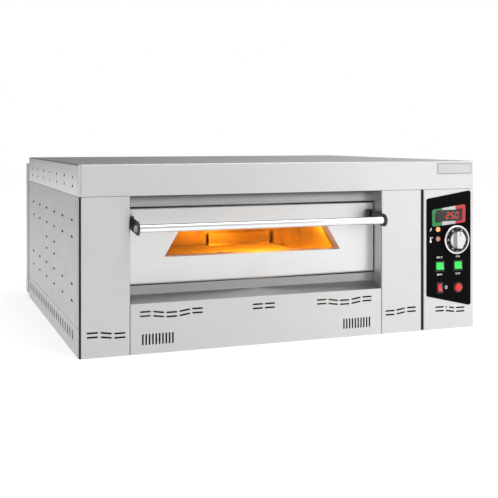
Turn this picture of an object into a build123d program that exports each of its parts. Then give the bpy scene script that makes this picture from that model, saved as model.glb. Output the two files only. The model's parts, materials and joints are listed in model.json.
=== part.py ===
from build123d import *
import os
from math import radians, tan

# Single-chamber gas deck oven, millimetres. +X right, the front faces -Y, +Z up.
# The origin is the middle of the four stand bolt holes, on the underside.

# ---- casing ----
width = 1000
depth = 840
height = 420
sheet = 1.0
tray_thickness = 1.5
seam = 0.9
side_gap = 2.5
panel_gap = 0.3
fascia_height = 70
skirt_height = 63
corner_return = 12
corner_radius = 8
bend_radius = 6
right_corner_radius = 3
edge_radius = 3
left_pillar_width = 113
right_pillar_width = 115.5
control_box_width = 148
rear_cover_depth = 70
rear_cover_bottom = 8
rear_cover_drop = 20
rear_neck_depth = 20
rear_neck_inset = 6

# ---- stand bolt holes ----
bolt_inset = 70
bolt_hole_radius = 4.5
tray_flange = 20
air_slot_rows = 9

# ---- slots in the front ----
slot_length = 25
slot_width = 3.8
slot_pitch = 30.2
slot_row_gap = 9.4
slot_tilt = 8.5
pillar_slot_height = 54.8
left_pillar_slot_start = 29.3
right_pillar_slot_start = 24
box_slot_start = 49.3
panel_slot_height = 93.2
left_group_start = 34
middle_group_shift = 4
right_group_start = 160
comb_pitch = 7.65
comb_count = 10
comb_height = 31.8
left_comb_start = 28.2
right_comb_start = 101.4

# ---- vents in the sides and rear ----
side_vent = (24, 5)
side_vent_count = 6
side_vent_pitch = 129.3
side_vent_start = 89.5
side_vent_rows = 37.5
upper_vent_height = 275
lower_vent_height = 131.5
middle_vent_height = 202.5
middle_vent_rows = 30
hood_vent = (13, 5)
hood_vent_count = 7
hood_vent_pitch = 113.5
hood_vent_start = 80
hood_vent_drop = 39.7
hood_vent_rows = 19.5
screw_slit = (15, 2)
slit_start = 41
slit_middle_shift = 28
slit_end = 330
upper_slit_height = 331
lower_slit_height = 83
skirt_slot = (24, 10)
skirt_slot_count = 23
skirt_slot_pitch = 33.2
skirt_slot_start = 80
skirt_slot_height = 38
rear_vent_height = 150
rear_vent_rows = 8
rear_vent_columns = 12
rear_vent_row_pitch = 14

# ---- door bay ----
recess_depth = 38
ledge_bottom = 110.5
ledge_top = 125.5
sill_depth = 44
sill_height = 146
header_gap = 1.5
seal_gap = 1.5
frame_thickness = 1.5
frame_lap = 15

# ---- door ----
door_side_gap = 1.75
door_bottom = 147.5
door_height = 171.5
door_thickness = 42
door_front_tray = 20
door_step = 4
door_edge_radius = 6
fittings_shift = 3
filling_margin = 24
hinge_inset = 8
pin_radius = 5
pin_clearance = 0.05
pin_sleeve_length = 20
bush_length = 12
bush_wall = 3
bush_flange = 30
bush_flange_thickness = 3
spring_wire = 2
spring_turns = 6
spring_space = 0.5

# ---- window ----
window_bottom = 207
window_top = 275
window_half_width = 221.75
window_slope = 0.6
window_corner = 1
window_wall = 1.2
glass_thickness = 4
glass_margin = 8
gasket_thickness = 1

# ---- door handle ----
handle_radius = 9
handle_wall = 1.5
handle_standoff = 76
handle_height = 281
handle_inset = 10.7
bracket_ring_radius = 15
bracket_thickness = 3
bracket_foot_width = 8
bracket_foot_depth = 12
bracket_foot_top = 302.5
bracket_foot_bottom = 275
end_cap_dome = 7
end_cap_plug = 8
handle_fit = 0.05
screw_radius = 2
screw_head_radius = 4
screw_head_height = 3
screw_inset = 7

# ---- chamber ----
chamber_depth = 647
chamber_height = 160
chamber_wall = 1.5
chamber_side_gap = 0.75
stone_top = 147
stone_thickness = 20
stone_gap = 1.5
stone_edge = 1.5
stone_rear_gap = 14
mouth_margin = 22
mouth_top = 302
support_thickness = 5
support_bar = 30
heat_slots_across = 6
heat_slots_along = 12
heat_slot_width = 16
baffle_height = 36
baffle_foot = 25
baffle_side_gap = 8
blanket_top = 60
blanket_side = 50
blanket_rear = 30
soft_gap = 0.3

# ---- oven lamp and probe ----
oven_lamp_y = 150
oven_lamp_z = 240
lamp_bore = 20
lamp_body = 25
lamp_glass_wall = 2
lamp_proud = 3
lamp_cap = 8
probe_offset = 225
probe_z = 200
probe_radius = 3
probe_reach = 90
probe_nut = 9
probe_nut_length = 8

# ---- burners and gas line ----
burner_count = 4
burner_pitch = 140
burner_radius = 16
burner_wall = 1.5
burner_height = 85
burner_front_gap = 37
burner_end_wall = 3
burner_foot = 8
burner_foot_length = 12
burner_tail = 18
port_count = 24
port_width = 2
port_margin = 40
manifold_radius = 13.5
manifold_wall = 2.3
manifold_overhang = 25
boss_gap = 4
boss_length = 8
boss_radius = 8
injector_radius = 5
injector_length = 16
injector_bore = 1
electrode_gap = 8
electrode_rise = 6
electrode_reach = 75
ceramic_reach = 50
ceramic_tail = 14
ceramic_radius = 3.5
valve_width = 60
valve_length = 70
valve_height = 60
valve_inset = 60
valve_foot_inset = 10
valve_corner = 4
solenoid_spacing = 36
solenoid_radius = 12
solenoid_height = 34
gas_thread_radius = 10.48
gas_bore_radius = 7
gas_inlet_length = 20
gas_nut_thickness = 6
gas_hex = 27
thread_chamfer = 1
hole_clearance = 0.5

# ---- flue ----
flue_width = 200
flue_height = 40
flue_wall = 1.0
flue_top = 300
flue_slot_count = 8
flue_slot_width = 8

# ---- control side, measured in from the right side of the casing ----
bulkhead_inset = 200
label_thickness = 0.8
label_left_inset = 136.7
label_right_inset = 8
label_left_bottom = 83.6
label_left_top = 326
label_right_bottom = 53.8
label_right_top = 345.8
label_corner = 6
window_fit = 0.2
display_inset = 71.6
display_z = 283.3
display_width = 75
display_height = 28
display_rim = 6
display_depth = 20
lamp_inset = 104
lamp_upper_z = 249.2
lamp_lower_z = 225.4
lamp_radius = 6
lamp_dome = 2.5
lamp_stem_step = 1.2
lamp_tail = 12
knob_inset = 55.5
knob_z = 223
skirt_radius = 36
skirt_thickness = 12
skirt_edge = 2
scale_width = 8
scale_depth = 1
grip_radius = 21.5
grip_height = 14
grip_bar = 17
grip_base = 5
grip_edge = 2.5
knob_gap = 0.6
spindle_radius = 3
spindle_length = 20
thermostat_size = (44, 32, 40)
rocker_tilt = 8
rocker_depth = 5.5
rocker_valley = 1.4
rocker_pivot_depth = 3.5
rocker_play = 0.3
rocker_swing = 1.2
housing_wall = 1.5
bezel_thickness = 1.6
bezel_lip = 1.7
housing_depth = 24
trunnion_radius = 1.2
left_switch_inset = 99
right_switch_inset = 46
green_switch_z = 157
red_switch_z = 103
green_rocker = (19.5, 17.5)
red_rocker = (10.5, 19)
button_radius = 10
button_rise = 4
button_travel = 3
button_play = 0.1
button_z = 101.8
button_tail = 6
button_edge = 1.5
badge_width = 100
badge_height = 28
badge_thickness = 0.8
badge_inset = 5
badge_corner = 2
controller_size = (40, 120, 90)
controller_place = (80, 170)
terminal_size = (24, 80, 24)
terminal_place = (250, 200)
terminal_count = 6
gland_inset = 120
gland_z = 150
gland_thread_radius = 10
gland_bore_radius = 5
gland_hex = 25
gland_nut_thickness = 5
gland_body_length = 7
gland_dome_length = 10

# How far a cutting shape runs past the faces it cuts.
overrun = 5

# ---- places worked out from the sizes above ----
left = -width / 2
right = width / 2
front = -depth / 2
back = depth / 2
fascia_bottom = height - fascia_height
wrap_y = front + corner_return
bay_left = left + left_pillar_width
box_left = right - control_box_width
bay_right = box_left - right_pillar_width
bay_width = bay_right - bay_left
bay_centre = (bay_left + bay_right) / 2
bolt_spacing_x = width - 2 * bolt_inset
bolt_spacing_y = depth - 2 * bolt_inset
frame_front = front + recess_depth + door_thickness + seal_gap
frame_back = frame_front + frame_thickness
door_face = front + recess_depth
door_back = door_face + door_thickness
door_split = door_face + door_front_tray
door_left = bay_left + door_side_gap
door_right = bay_right - door_side_gap
door_top = door_bottom + door_height
header_bottom = door_top + header_gap
fittings_centre = bay_centre - fittings_shift
hinge_y = door_face + hinge_inset
hinge_z = door_bottom + hinge_inset
chamber_width = bay_width - 2 * chamber_side_gap
chamber_left = bay_left + chamber_side_gap
chamber_right = bay_right - chamber_side_gap
chamber_back = frame_back + chamber_depth
chamber_top = stone_top + chamber_height
rear_wall_back = chamber_back + chamber_wall
stone_bottom = stone_top - stone_thickness
rear_end = back + rear_cover_depth
burner_end = rear_wall_back + burner_tail
boss_front = burner_end + boss_gap
manifold_y = boss_front + boss_length + manifold_radius
pillar_top = fascia_bottom - seam
label_face = front - label_thickness
inside = front + sheet
bulkhead_x = right - bulkhead_inset
valve_x = right - valve_inset
gland_x = right - gland_inset
label_left = right - label_left_inset
label_right = right - label_right_inset
display_x = right - display_inset
lamp_x = right - lamp_inset
knob_x = right - knob_inset
left_switch_x = right - left_switch_inset
right_switch_x = right - right_switch_inset
probe_x = bay_centre + probe_offset

os.makedirs("parts", exist_ok=True)


def save(piece, name):
    """Label the finished piece and write its file."""
    piece.part.label = name
    export_step(piece.part, f"parts/{name}.step")


def block(x0, x1, y0, y1, z0, z1, mode=Mode.ADD):
    """A box between two values on each axis, in the current part."""
    with Locations(((x0 + x1) / 2, (y0 + y1) / 2, (z0 + z1) / 2)):
        Box(x1 - x0, y1 - y0, z1 - z0, mode=mode)


def bent_sheet(plane, points, radii, length, thickness=sheet):
    """A strip of sheet bent along the points, thick to the right of the way it runs."""
    with BuildPart(mode=Mode.PRIVATE) as strip:
        with BuildSketch(plane) as section:
            with BuildLine():
                FilletPolyline(*points, radius=radii)
                offset(amount=thickness, side=Side.RIGHT)
            make_face()
        extrude(section.sketch, amount=length)
    return strip.part


def front_cut(shape):
    """Cut a front-view sketch through the front sheet and what lies right behind it."""
    extrude(shape, amount=overrun, both=True, mode=Mode.SUBTRACT)


def tray_notch(x0, x1):
    """Cut the foot of a return where the base tray runs under it."""
    block(x0, x1, front + sheet, frame_back, -sheet, tray_thickness, mode=Mode.SUBTRACT)


def wave_slots(first_x, first_z, tilts):
    """Two rows of slots that run on in a wave: each turn starts where the last slot ends."""
    with BuildSketch(Plane.XZ.offset(-front), mode=Mode.PRIVATE) as rows:
        x = first_x
        z = first_z
        for number, tilt in enumerate(tilts):
            if number > 0:
                x += slot_pitch
                z += slot_pitch / 2 * (tan(radians(tilts[number - 1])) + tan(radians(tilt)))
            with Locations((x, z), (x, z - slot_row_gap)):
                SlotOverall(slot_length, slot_width, rotation=tilt)
    return rows.sketch


def upright_slots(first_x, middle_z):
    """A comb of short upright slots beside each other."""
    with BuildSketch(Plane.XZ.offset(-front), mode=Mode.PRIVATE) as comb:
        span = (comb_count - 1) * comb_pitch
        with Locations((first_x + span / 2, middle_z)):
            with GridLocations(comb_pitch, 1, comb_count, 1):
                SlotOverall(slot_length, slot_width, rotation=90)
    return comb.sketch


# ---- base ----
with BuildPart() as base_tray:
    block(left + sheet, right - sheet, front + sheet, back - sheet, 0, tray_thickness)
    fillet(base_tray.edges().filter_by(Axis.Z).group_by(Axis.Y)[0], radius=corner_radius - sheet)
    block(left + sheet, left + sheet + tray_thickness, wrap_y, back - sheet,
          tray_thickness, tray_flange)
    block(right - sheet - tray_thickness, right - sheet, wrap_y, back - sheet,
          tray_thickness, tray_flange)
    with GridLocations(bolt_spacing_x, bolt_spacing_y, 2, 2):
        Hole(bolt_hole_radius)
    with BuildSketch(Plane.XY) as air_slots:
        with Locations((bay_centre, 0)):
            with GridLocations(burner_pitch, slot_pitch * 2, burner_count, air_slot_rows):
                SlotOverall(slot_length * 2, slot_width * 2)
    extrude(air_slots.sketch, amount=overrun, both=True, mode=Mode.SUBTRACT)
save(base_tray, "base_tray")

with BuildPart() as base_skirts:
    block(left, left + sheet, wrap_y + side_gap, back, 0, skirt_height)
    block(right - sheet, right, wrap_y + side_gap, back, 0, skirt_height)
    with BuildSketch(Plane.YZ) as skirt_slots:
        slots_middle_y = front + skirt_slot_start + (skirt_slot_count - 1) * skirt_slot_pitch / 2
        with Locations((slots_middle_y, skirt_slot_height)):
            with GridLocations(skirt_slot_pitch, 1, skirt_slot_count, 1):
                SlotOverall(*skirt_slot, rotation=90)
    extrude(skirt_slots.sketch, amount=width, both=True, mode=Mode.SUBTRACT)
save(base_skirts, "base_skirts")

# ---- front panels ----
left_pillar_sheet = bent_sheet(
    Plane.XY,
    [(left, wrap_y), (left, front), (bay_left, front), (bay_left, frame_front)][::-1],
    [edge_radius, corner_radius], pillar_top)
with BuildPart() as front_pillar_left:
    add(left_pillar_sheet)
    tray_notch(bay_left - edge_radius * 2, bay_left + edge_radius)
    front_cut(wave_slots(left + left_pillar_slot_start, pillar_slot_height, (0, -slot_tilt, 0)))
    with Locations(Plane(origin=(bay_left, hinge_y, hinge_z), z_dir=(1, 0, 0))):
        Hole(pin_radius + hole_clearance, depth=overrun)
save(front_pillar_left, "front_pillar_left")

right_pillar_sheet = bent_sheet(
    Plane.XY,
    [(bay_right, frame_front), (bay_right, front), (box_left - seam, front),
     (box_left - seam, wrap_y)][::-1],
    [bend_radius, edge_radius], pillar_top)
with BuildPart() as front_pillar_right:
    add(right_pillar_sheet)
    tray_notch(bay_right - edge_radius, bay_right + edge_radius * 2)
    tray_notch(box_left - corner_radius * 2, box_left + corner_radius * 2)
    slots_start = bay_right + right_pillar_slot_start
    front_cut(wave_slots(slots_start, pillar_slot_height, (0, slot_tilt, 0)))
    with Locations(Plane(origin=(bay_right, hinge_y, hinge_z), z_dir=(-1, 0, 0))):
        Hole(pin_radius + hole_clearance, depth=overrun)
save(front_pillar_right, "front_pillar_right")

lower_sheet = bent_sheet(
    Plane.YZ.offset(bay_left + panel_gap),
    [(front, 0), (front, ledge_bottom), (front + sill_depth, ledge_top),
     (front + sill_depth, sill_height), (frame_front, sill_height)],
    [edge_radius, edge_radius, edge_radius], bay_width - 2 * panel_gap)
with BuildPart() as lower_front_panel:
    add(lower_sheet)
    wave = (0, -slot_tilt, 0, slot_tilt, 0)
    front_cut(wave_slots(bay_left + left_group_start, panel_slot_height, wave))
    middle_start = bay_centre - slot_pitch / 2 + middle_group_shift
    front_cut(wave_slots(middle_start, panel_slot_height, (0, 0)))
    front_cut(wave_slots(bay_right - right_group_start, panel_slot_height, wave))
    front_cut(upright_slots(bay_left + left_comb_start, comb_height))
    front_cut(upright_slots(bay_right - right_comb_start, comb_height))
save(lower_front_panel, "lower_front_panel")

header_sheet = bent_sheet(
    Plane.YZ.offset(bay_left + panel_gap),
    [(frame_front, header_bottom), (front + sill_depth, header_bottom),
     (front + sill_depth, pillar_top - sheet), (wrap_y + seam, pillar_top - sheet)],
    [edge_radius, edge_radius], bay_width - 2 * panel_gap)
with BuildPart() as recess_header:
    add(header_sheet)
save(recess_header, "recess_header")

box_sheet = bent_sheet(
    Plane.XY,
    [(right, wrap_y), (right, front), (box_left, front), (box_left, wrap_y)],
    [right_corner_radius, bend_radius], pillar_top)


def housing_size(rocker):
    """Width and height of the housing that holds a rocker of this size."""
    wide = rocker[0] + 2 * (rocker_play + housing_wall)
    high = rocker[1] + 2 * (rocker_swing + housing_wall)
    return wide, high


def rod_x(y, z, radius, x0, x1, mode=Mode.ADD):
    """A round bar along X between two places, in the current part."""
    with Locations(Plane(origin=((x0 + x1) / 2, y, z), z_dir=(1, 0, 0))):
        Cylinder(radius, abs(x1 - x0), mode=mode)


def rod_y(x, z, radius, y0, y1, mode=Mode.ADD):
    """A round bar along Y between two places, in the current part."""
    with Locations(Plane(origin=(x, (y0 + y1) / 2, z), z_dir=(0, -1, 0))):
        Cylinder(radius, abs(y1 - y0), mode=mode)


def rod_z(x, y, radius, z0, z1, mode=Mode.ADD):
    """A round bar along Z between two places, in the current part."""
    with Locations((x, y, (z0 + z1) / 2)):
        Cylinder(radius, abs(z1 - z0), mode=mode)


def hex_y(x, z, across, y0, y1, mode=Mode.ADD):
    """A hexagon bar along Y between two places, in the current part."""
    with BuildSketch(Plane.XZ.offset(-y1), mode=Mode.PRIVATE) as outline:
        with Locations((x, z)):
            RegularPolygon(across / 2, 6, major_radius=False)
    extrude(outline.sketch, amount=y1 - y0, mode=mode)


button_body_radius = button_radius + button_play + housing_wall

with BuildSketch(Plane.XZ.offset(-front)) as control_openings:
    with Locations((display_x, display_z)):
        Rectangle(display_width + 2 * window_fit, display_height + 2 * window_fit)
    with Locations((knob_x, knob_z)):
        Circle(spindle_radius + 2)
    with Locations((lamp_x, lamp_upper_z), (lamp_x, lamp_lower_z)):
        Circle(lamp_radius - 1)
    green_wide, green_high = housing_size(green_rocker)
    with Locations((left_switch_x, green_switch_z), (right_switch_x, green_switch_z)):
        Rectangle(green_wide + 2 * window_fit, green_high + 2 * window_fit)
    red_wide, red_high = housing_size(red_rocker)
    with Locations((left_switch_x, red_switch_z)):
        Rectangle(red_wide + 2 * window_fit, red_high + 2 * window_fit)
    with Locations((right_switch_x, button_z)):
        Circle(button_body_radius + window_fit)

with BuildPart() as control_box_front:
    add(box_sheet)
    tray_notch(box_left - corner_radius * 2, box_left + corner_radius * 2)
    front_cut(wave_slots(box_left + box_slot_start, pillar_slot_height, (0, -slot_tilt, 0)))
    front_cut(control_openings.sketch)
save(control_box_front, "control_box_front")

with BuildPart() as top_fascia:
    block(left, right, front, wrap_y, fascia_bottom, height)
    front_corners = top_fascia.edges().filter_by(Axis.Z).group_by(Axis.Y)[0].sort_by(Axis.X)
    fillet(front_corners[0], radius=corner_radius)
    fillet(front_corners[-1], radius=right_corner_radius)
    top_face = top_fascia.faces().sort_by(Axis.Z)[-1]
    fillet(top_face.edges().sort_by(Axis.Y)[:-1], radius=edge_radius)
    offset(amount=-sheet, openings=top_fascia.faces().sort_by(Axis.Y)[-1])
save(top_fascia, "top_fascia")

# ---- hood, sides and rear ----
with BuildPart() as top_cover:
    block(left, right, wrap_y + seam, back, fascia_bottom, height)
    top_face = top_cover.faces().sort_by(Axis.Z)[-1]
    fillet(top_face.edges().sort_by(Axis.Y)[1:], radius=edge_radius)
    hood_front = top_cover.faces().sort_by(Axis.Y)[0]
    hood_bottom = top_cover.faces().sort_by(Axis.Z)[0]
    offset(amount=-sheet, openings=[hood_front, hood_bottom])
    with BuildSketch(Plane.YZ) as hood_holes:
        vents_middle_y = front + hood_vent_start + (hood_vent_count - 1) * hood_vent_pitch / 2
        with Locations((vents_middle_y, height - hood_vent_drop)):
            with GridLocations(hood_vent_pitch, hood_vent_rows, hood_vent_count, 2):
                SlotOverall(*hood_vent)
    extrude(hood_holes.sketch, amount=width, both=True, mode=Mode.SUBTRACT)
save(top_cover, "top_cover")

side_middle_y = front + side_vent_start + (side_vent_count - 1) * side_vent_pitch / 2
with BuildSketch(Plane.YZ) as side_openings:
    with Locations((side_middle_y, upper_vent_height), (side_middle_y, lower_vent_height)):
        with GridLocations(side_vent_pitch, side_vent_rows, side_vent_count, 2):
            SlotOverall(*side_vent)
    with Locations((side_middle_y, middle_vent_height)):
        with GridLocations(side_vent_pitch, middle_vent_rows, 2, 2):
            SlotOverall(*side_vent)
    for slit_z in (upper_slit_height, lower_slit_height):
        with Locations((front + slit_start, slit_z), (side_middle_y - slit_middle_shift, slit_z),
                       (side_middle_y + slit_end, slit_z)):
            SlotOverall(*screw_slit, rotation=90)


def side_panel(outer_x, inner_x):
    """One side sheet with its vent holes, in the current part."""
    block(min(outer_x, inner_x), max(outer_x, inner_x), wrap_y + side_gap, back,
          skirt_height + seam, pillar_top)
    extrude(side_openings.sketch, amount=width, both=True, mode=Mode.SUBTRACT)


with BuildPart() as side_panel_left:
    side_panel(left, left + sheet)
save(side_panel_left, "side_panel_left")

with BuildPart() as side_panel_right:
    side_panel(right, right - sheet)
save(side_panel_right, "side_panel_right")

flue_bottom = flue_top - flue_height
with BuildSketch(Plane.XZ.offset(-rear_end)) as flue_opening:
    with Locations((bay_centre, flue_top - flue_height / 2)):
        Rectangle(flue_width + 2 * hole_clearance, flue_height + 2 * hole_clearance)
with BuildSketch(Plane.XZ.offset(-rear_end)) as gas_opening:
    with Locations((valve_x, burner_height)):
        Circle(gas_thread_radius + hole_clearance)
with BuildSketch(Plane.XZ.offset(-rear_end)) as rear_vents:
    with Locations((bay_centre, rear_vent_height)):
        with GridLocations(slot_pitch * 2, rear_vent_row_pitch, rear_vent_columns, rear_vent_rows):
            SlotOverall(slot_length * 2, slot_width)

with BuildPart() as rear_panel:
    block(left + sheet, right - sheet, back - sheet, back, 0, pillar_top)
    extrude(flue_opening.sketch, amount=rear_cover_depth * 2, mode=Mode.SUBTRACT)
    extrude(gas_opening.sketch, amount=rear_cover_depth * 2, mode=Mode.SUBTRACT)
save(rear_panel, "rear_panel")

with BuildPart() as rear_cover:
    cover_top = height - rear_cover_drop
    block(left + rear_neck_inset, right - rear_neck_inset, back, back + rear_neck_depth,
          rear_cover_bottom + rear_neck_inset, cover_top - rear_neck_inset)
    block(left, right, back + rear_neck_depth, rear_end, rear_cover_bottom, cover_top)
    fillet(rear_cover.edges().filter_by(Axis.Z).group_by(Axis.Y)[-1], radius=edge_radius)
    offset(amount=-sheet, openings=rear_cover.faces().sort_by(Axis.Y)[0])
    for opening in (flue_opening, gas_opening, rear_vents):
        extrude(opening.sketch, amount=overrun, both=True, mode=Mode.SUBTRACT)
    rod_y(gland_x, gland_z, gland_thread_radius + window_fit / 2, rear_end - overrun,
          rear_end + overrun, mode=Mode.SUBTRACT)
save(rear_cover, "rear_cover")

badge_middle = (right - badge_inset - badge_width / 2, height - badge_inset - badge_height / 2)
with BuildPart() as badge_plate:
    with BuildSketch(Plane.XZ.offset(-front)) as badge_outline:
        with Locations(badge_middle):
            RectangleRounded(badge_width, badge_height, badge_corner)
    extrude(amount=badge_thickness)
save(badge_plate, "badge_plate")

# ---- baking chamber ----
shell_left = chamber_left - chamber_wall
shell_right = chamber_right + chamber_wall
shell_top = chamber_top + chamber_wall

with BuildPart() as chamber_front_frame:
    block(bay_left - frame_lap, bay_right + frame_lap, frame_front, frame_back, tray_thickness,
          pillar_top)
    block(bay_left + mouth_margin, bay_right - mouth_margin, frame_front, frame_back,
          stone_top, mouth_top, mode=Mode.SUBTRACT)
save(chamber_front_frame, "chamber_front_frame")

with BuildPart() as chamber_shell:
    block(shell_left, shell_right, frame_back, chamber_back, tray_thickness, shell_top)
    block(chamber_left, chamber_right, frame_back, chamber_back, tray_thickness, chamber_top,
          mode=Mode.SUBTRACT)
    rod_x(oven_lamp_y, oven_lamp_z, lamp_bore, chamber_right - overrun, chamber_right + overrun,
          mode=Mode.SUBTRACT)
save(chamber_shell, "chamber_shell")

burner_xs = [bay_centre + (number - (burner_count - 1) / 2) * burner_pitch
             for number in range(burner_count)]
electrode_xs = (burner_xs[0] + burner_radius + electrode_gap,
                burner_xs[-1] - burner_radius - electrode_gap)
electrode_z = burner_height + burner_radius + electrode_rise

with BuildPart() as chamber_rear_wall:
    block(shell_left, shell_right, chamber_back, rear_wall_back, tray_thickness, shell_top)
    for burner_x in burner_xs:
        rod_y(burner_x, burner_height, burner_radius + hole_clearance, chamber_back - overrun,
              rear_wall_back + overrun, mode=Mode.SUBTRACT)
    for electrode_x in electrode_xs:
        rod_y(electrode_x, electrode_z, ceramic_radius + window_fit, chamber_back - overrun,
              rear_wall_back + overrun, mode=Mode.SUBTRACT)
    rod_y(probe_x, probe_z, probe_radius + window_fit, chamber_back - overrun,
          rear_wall_back + overrun, mode=Mode.SUBTRACT)
    with BuildSketch(Plane.XZ.offset(-rear_wall_back)) as flue_slots:
        with Locations((bay_centre, flue_top - flue_height / 2)):
            with GridLocations(flue_width / (flue_slot_count + 1), 1, flue_slot_count, 1):
                SlotOverall(flue_height - flue_slot_width, flue_slot_width, rotation=90)
    extrude(flue_slots.sketch, amount=overrun, both=True, mode=Mode.SUBTRACT)
save(chamber_rear_wall, "chamber_rear_wall")

stone_front = frame_back + sheet
stone_back = chamber_back - stone_rear_gap
stone_length = stone_back - stone_front
stone_width = (chamber_width - 3 * stone_gap) / 2
with BuildPart() as deck_stones:
    for stone_left in (chamber_left + stone_gap, bay_centre + stone_gap / 2):
        block(stone_left, stone_left + stone_width, stone_front, stone_back,
              stone_bottom, stone_top)
    fillet(deck_stones.edges().filter_by(Axis.X).group_by(Axis.Z)[-1], radius=stone_edge)
save(deck_stones, "deck_stones")

with BuildPart() as stone_support:
    block(chamber_left, chamber_right, stone_front, stone_back,
          stone_bottom - support_thickness, stone_bottom)
    pitch_x = chamber_width / heat_slots_across
    pitch_y = stone_length / heat_slots_along
    with BuildSketch(Plane.XY.offset(stone_bottom)) as heat_slots:
        with Locations((bay_centre, (stone_front + stone_back) / 2)):
            with GridLocations(pitch_x, pitch_y, heat_slots_across, heat_slots_along):
                SlotOverall(pitch_x - support_bar, heat_slot_width)
    extrude(amount=-support_thickness, mode=Mode.SUBTRACT)
save(stone_support, "stone_support")

baffle_left = bay_centre + chamber_width / 6
baffle_right = chamber_right - baffle_side_gap
with BuildPart() as rear_baffle:
    block(baffle_left, baffle_right, stone_back - sheet, stone_back,
          stone_top, stone_top + baffle_height)
    block(baffle_left, baffle_right, stone_back - baffle_foot, stone_back - sheet, stone_top,
          stone_top + sheet)
save(rear_baffle, "rear_baffle")

blanket_front = frame_back + soft_gap
with BuildPart() as insulation_blankets:
    block(shell_left, shell_right, blanket_front, chamber_back, shell_top + soft_gap,
          shell_top + soft_gap + blanket_top)
    block(shell_left - soft_gap - blanket_side, shell_left - soft_gap, blanket_front,
          chamber_back, skirt_height, shell_top)
    block(shell_right + soft_gap, shell_right + soft_gap + blanket_side, blanket_front,
          chamber_back, skirt_height, shell_top)
    rod_x(oven_lamp_y, oven_lamp_z, lamp_body + soft_gap, shell_right, bulkhead_x,
          mode=Mode.SUBTRACT)
    block(shell_left, shell_right, rear_wall_back + soft_gap,
          rear_wall_back + soft_gap + blanket_rear, electrode_z + boss_radius, shell_top)
    block(bay_centre - flue_width / 2 - soft_gap, bay_centre + flue_width / 2 + soft_gap,
          rear_wall_back, rear_wall_back + blanket_rear * 2, flue_bottom - soft_gap,
          flue_top + soft_gap, mode=Mode.SUBTRACT)
    rod_y(probe_x, probe_z, probe_nut, rear_wall_back, rear_wall_back + blanket_rear * 2,
          mode=Mode.SUBTRACT)
save(insulation_blankets, "insulation_blankets")

with BuildPart() as flue_duct:
    block(bay_centre - flue_width / 2, bay_centre + flue_width / 2, rear_wall_back, rear_end,
          flue_bottom, flue_top)
    block(bay_centre - flue_width / 2 + flue_wall, bay_centre + flue_width / 2 - flue_wall,
          rear_wall_back, rear_end, flue_bottom + flue_wall, flue_top - flue_wall,
          mode=Mode.SUBTRACT)
save(flue_duct, "flue_duct")

with BuildPart() as lamp_housing:
    rod_x(oven_lamp_y, oven_lamp_z, lamp_body, shell_right, bulkhead_x)
    rod_x(oven_lamp_y, oven_lamp_z, lamp_bore, shell_right, bulkhead_x - lamp_cap,
          mode=Mode.SUBTRACT)
save(lamp_housing, "lamp_housing")

with BuildPart() as lamp_glass:
    dome_x = chamber_right - lamp_proud
    with Locations((dome_x, oven_lamp_y, oven_lamp_z)):
        Sphere(lamp_bore)
        Sphere(lamp_bore - lamp_glass_wall, mode=Mode.SUBTRACT)
    block(dome_x, dome_x + lamp_body, oven_lamp_y - lamp_body, oven_lamp_y + lamp_body,
          oven_lamp_z - lamp_body, oven_lamp_z + lamp_body, mode=Mode.SUBTRACT)
    rod_x(oven_lamp_y, oven_lamp_z, lamp_body, dome_x, chamber_right)
    stem_radius = lamp_bore - window_fit
    stem_end = shell_right + lamp_cap
    rod_x(oven_lamp_y, oven_lamp_z, stem_radius, chamber_right, stem_end)
    rod_x(oven_lamp_y, oven_lamp_z, stem_radius - lamp_glass_wall, dome_x, stem_end,
          mode=Mode.SUBTRACT)
save(lamp_glass, "lamp_glass")

with BuildPart() as temperature_probe:
    rod_y(probe_x, probe_z, probe_radius, chamber_back - probe_reach,
          rear_wall_back + blanket_rear + lamp_cap)
    hex_y(probe_x, probe_z, probe_nut, rear_wall_back, rear_wall_back + probe_nut_length)
save(temperature_probe, "temperature_probe")

# ---- burners and gas line ----
burner_front = frame_back + burner_front_gap
with BuildPart() as burner_tubes:
    for burner_x in burner_xs:
        rod_y(burner_x, burner_height, burner_radius, burner_front, burner_end)
    block(chamber_left, chamber_right, burner_front + burner_foot,
          burner_front + burner_foot + burner_foot_length,
          burner_height - burner_radius - burner_foot, burner_height - burner_radius + burner_wall)
    for burner_x in burner_xs:
        rod_y(burner_x, burner_height, burner_radius - burner_wall,
              burner_front + burner_end_wall, burner_end, mode=Mode.SUBTRACT)
    port_span = stone_length - 2 * port_margin
    with BuildSketch(Plane.XY.offset(burner_height)) as ports:
        with Locations((bay_centre, (burner_front + chamber_back) / 2)):
            with GridLocations(burner_pitch, port_span / port_count, burner_count, port_count):
                Rectangle(burner_radius, port_width)
    extrude(ports.sketch, amount=burner_radius * 2, mode=Mode.SUBTRACT)
save(burner_tubes, "burner_tubes")

valve_left = valve_x - valve_width / 2
valve_front = manifold_y - valve_length / 2
valve_back = manifold_y + valve_length / 2
with BuildPart() as gas_manifold:
    manifold_left = burner_xs[0] - manifold_overhang
    rod_x(manifold_y, burner_height, manifold_radius, manifold_left, valve_left)
    for burner_x in burner_xs:
        rod_y(burner_x, burner_height, boss_radius, boss_front, manifold_y)
    rod_x(manifold_y, burner_height, manifold_radius - manifold_wall,
          manifold_left + burner_end_wall, valve_left, mode=Mode.SUBTRACT)
save(gas_manifold, "gas_manifold")

with BuildPart() as gas_injectors:
    for burner_x in burner_xs:
        rod_y(burner_x, burner_height, injector_radius, boss_front - injector_length, boss_front)
        rod_y(burner_x, burner_height, injector_bore, boss_front - injector_length, boss_front,
              mode=Mode.SUBTRACT)
save(gas_injectors, "gas_injectors")

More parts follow.
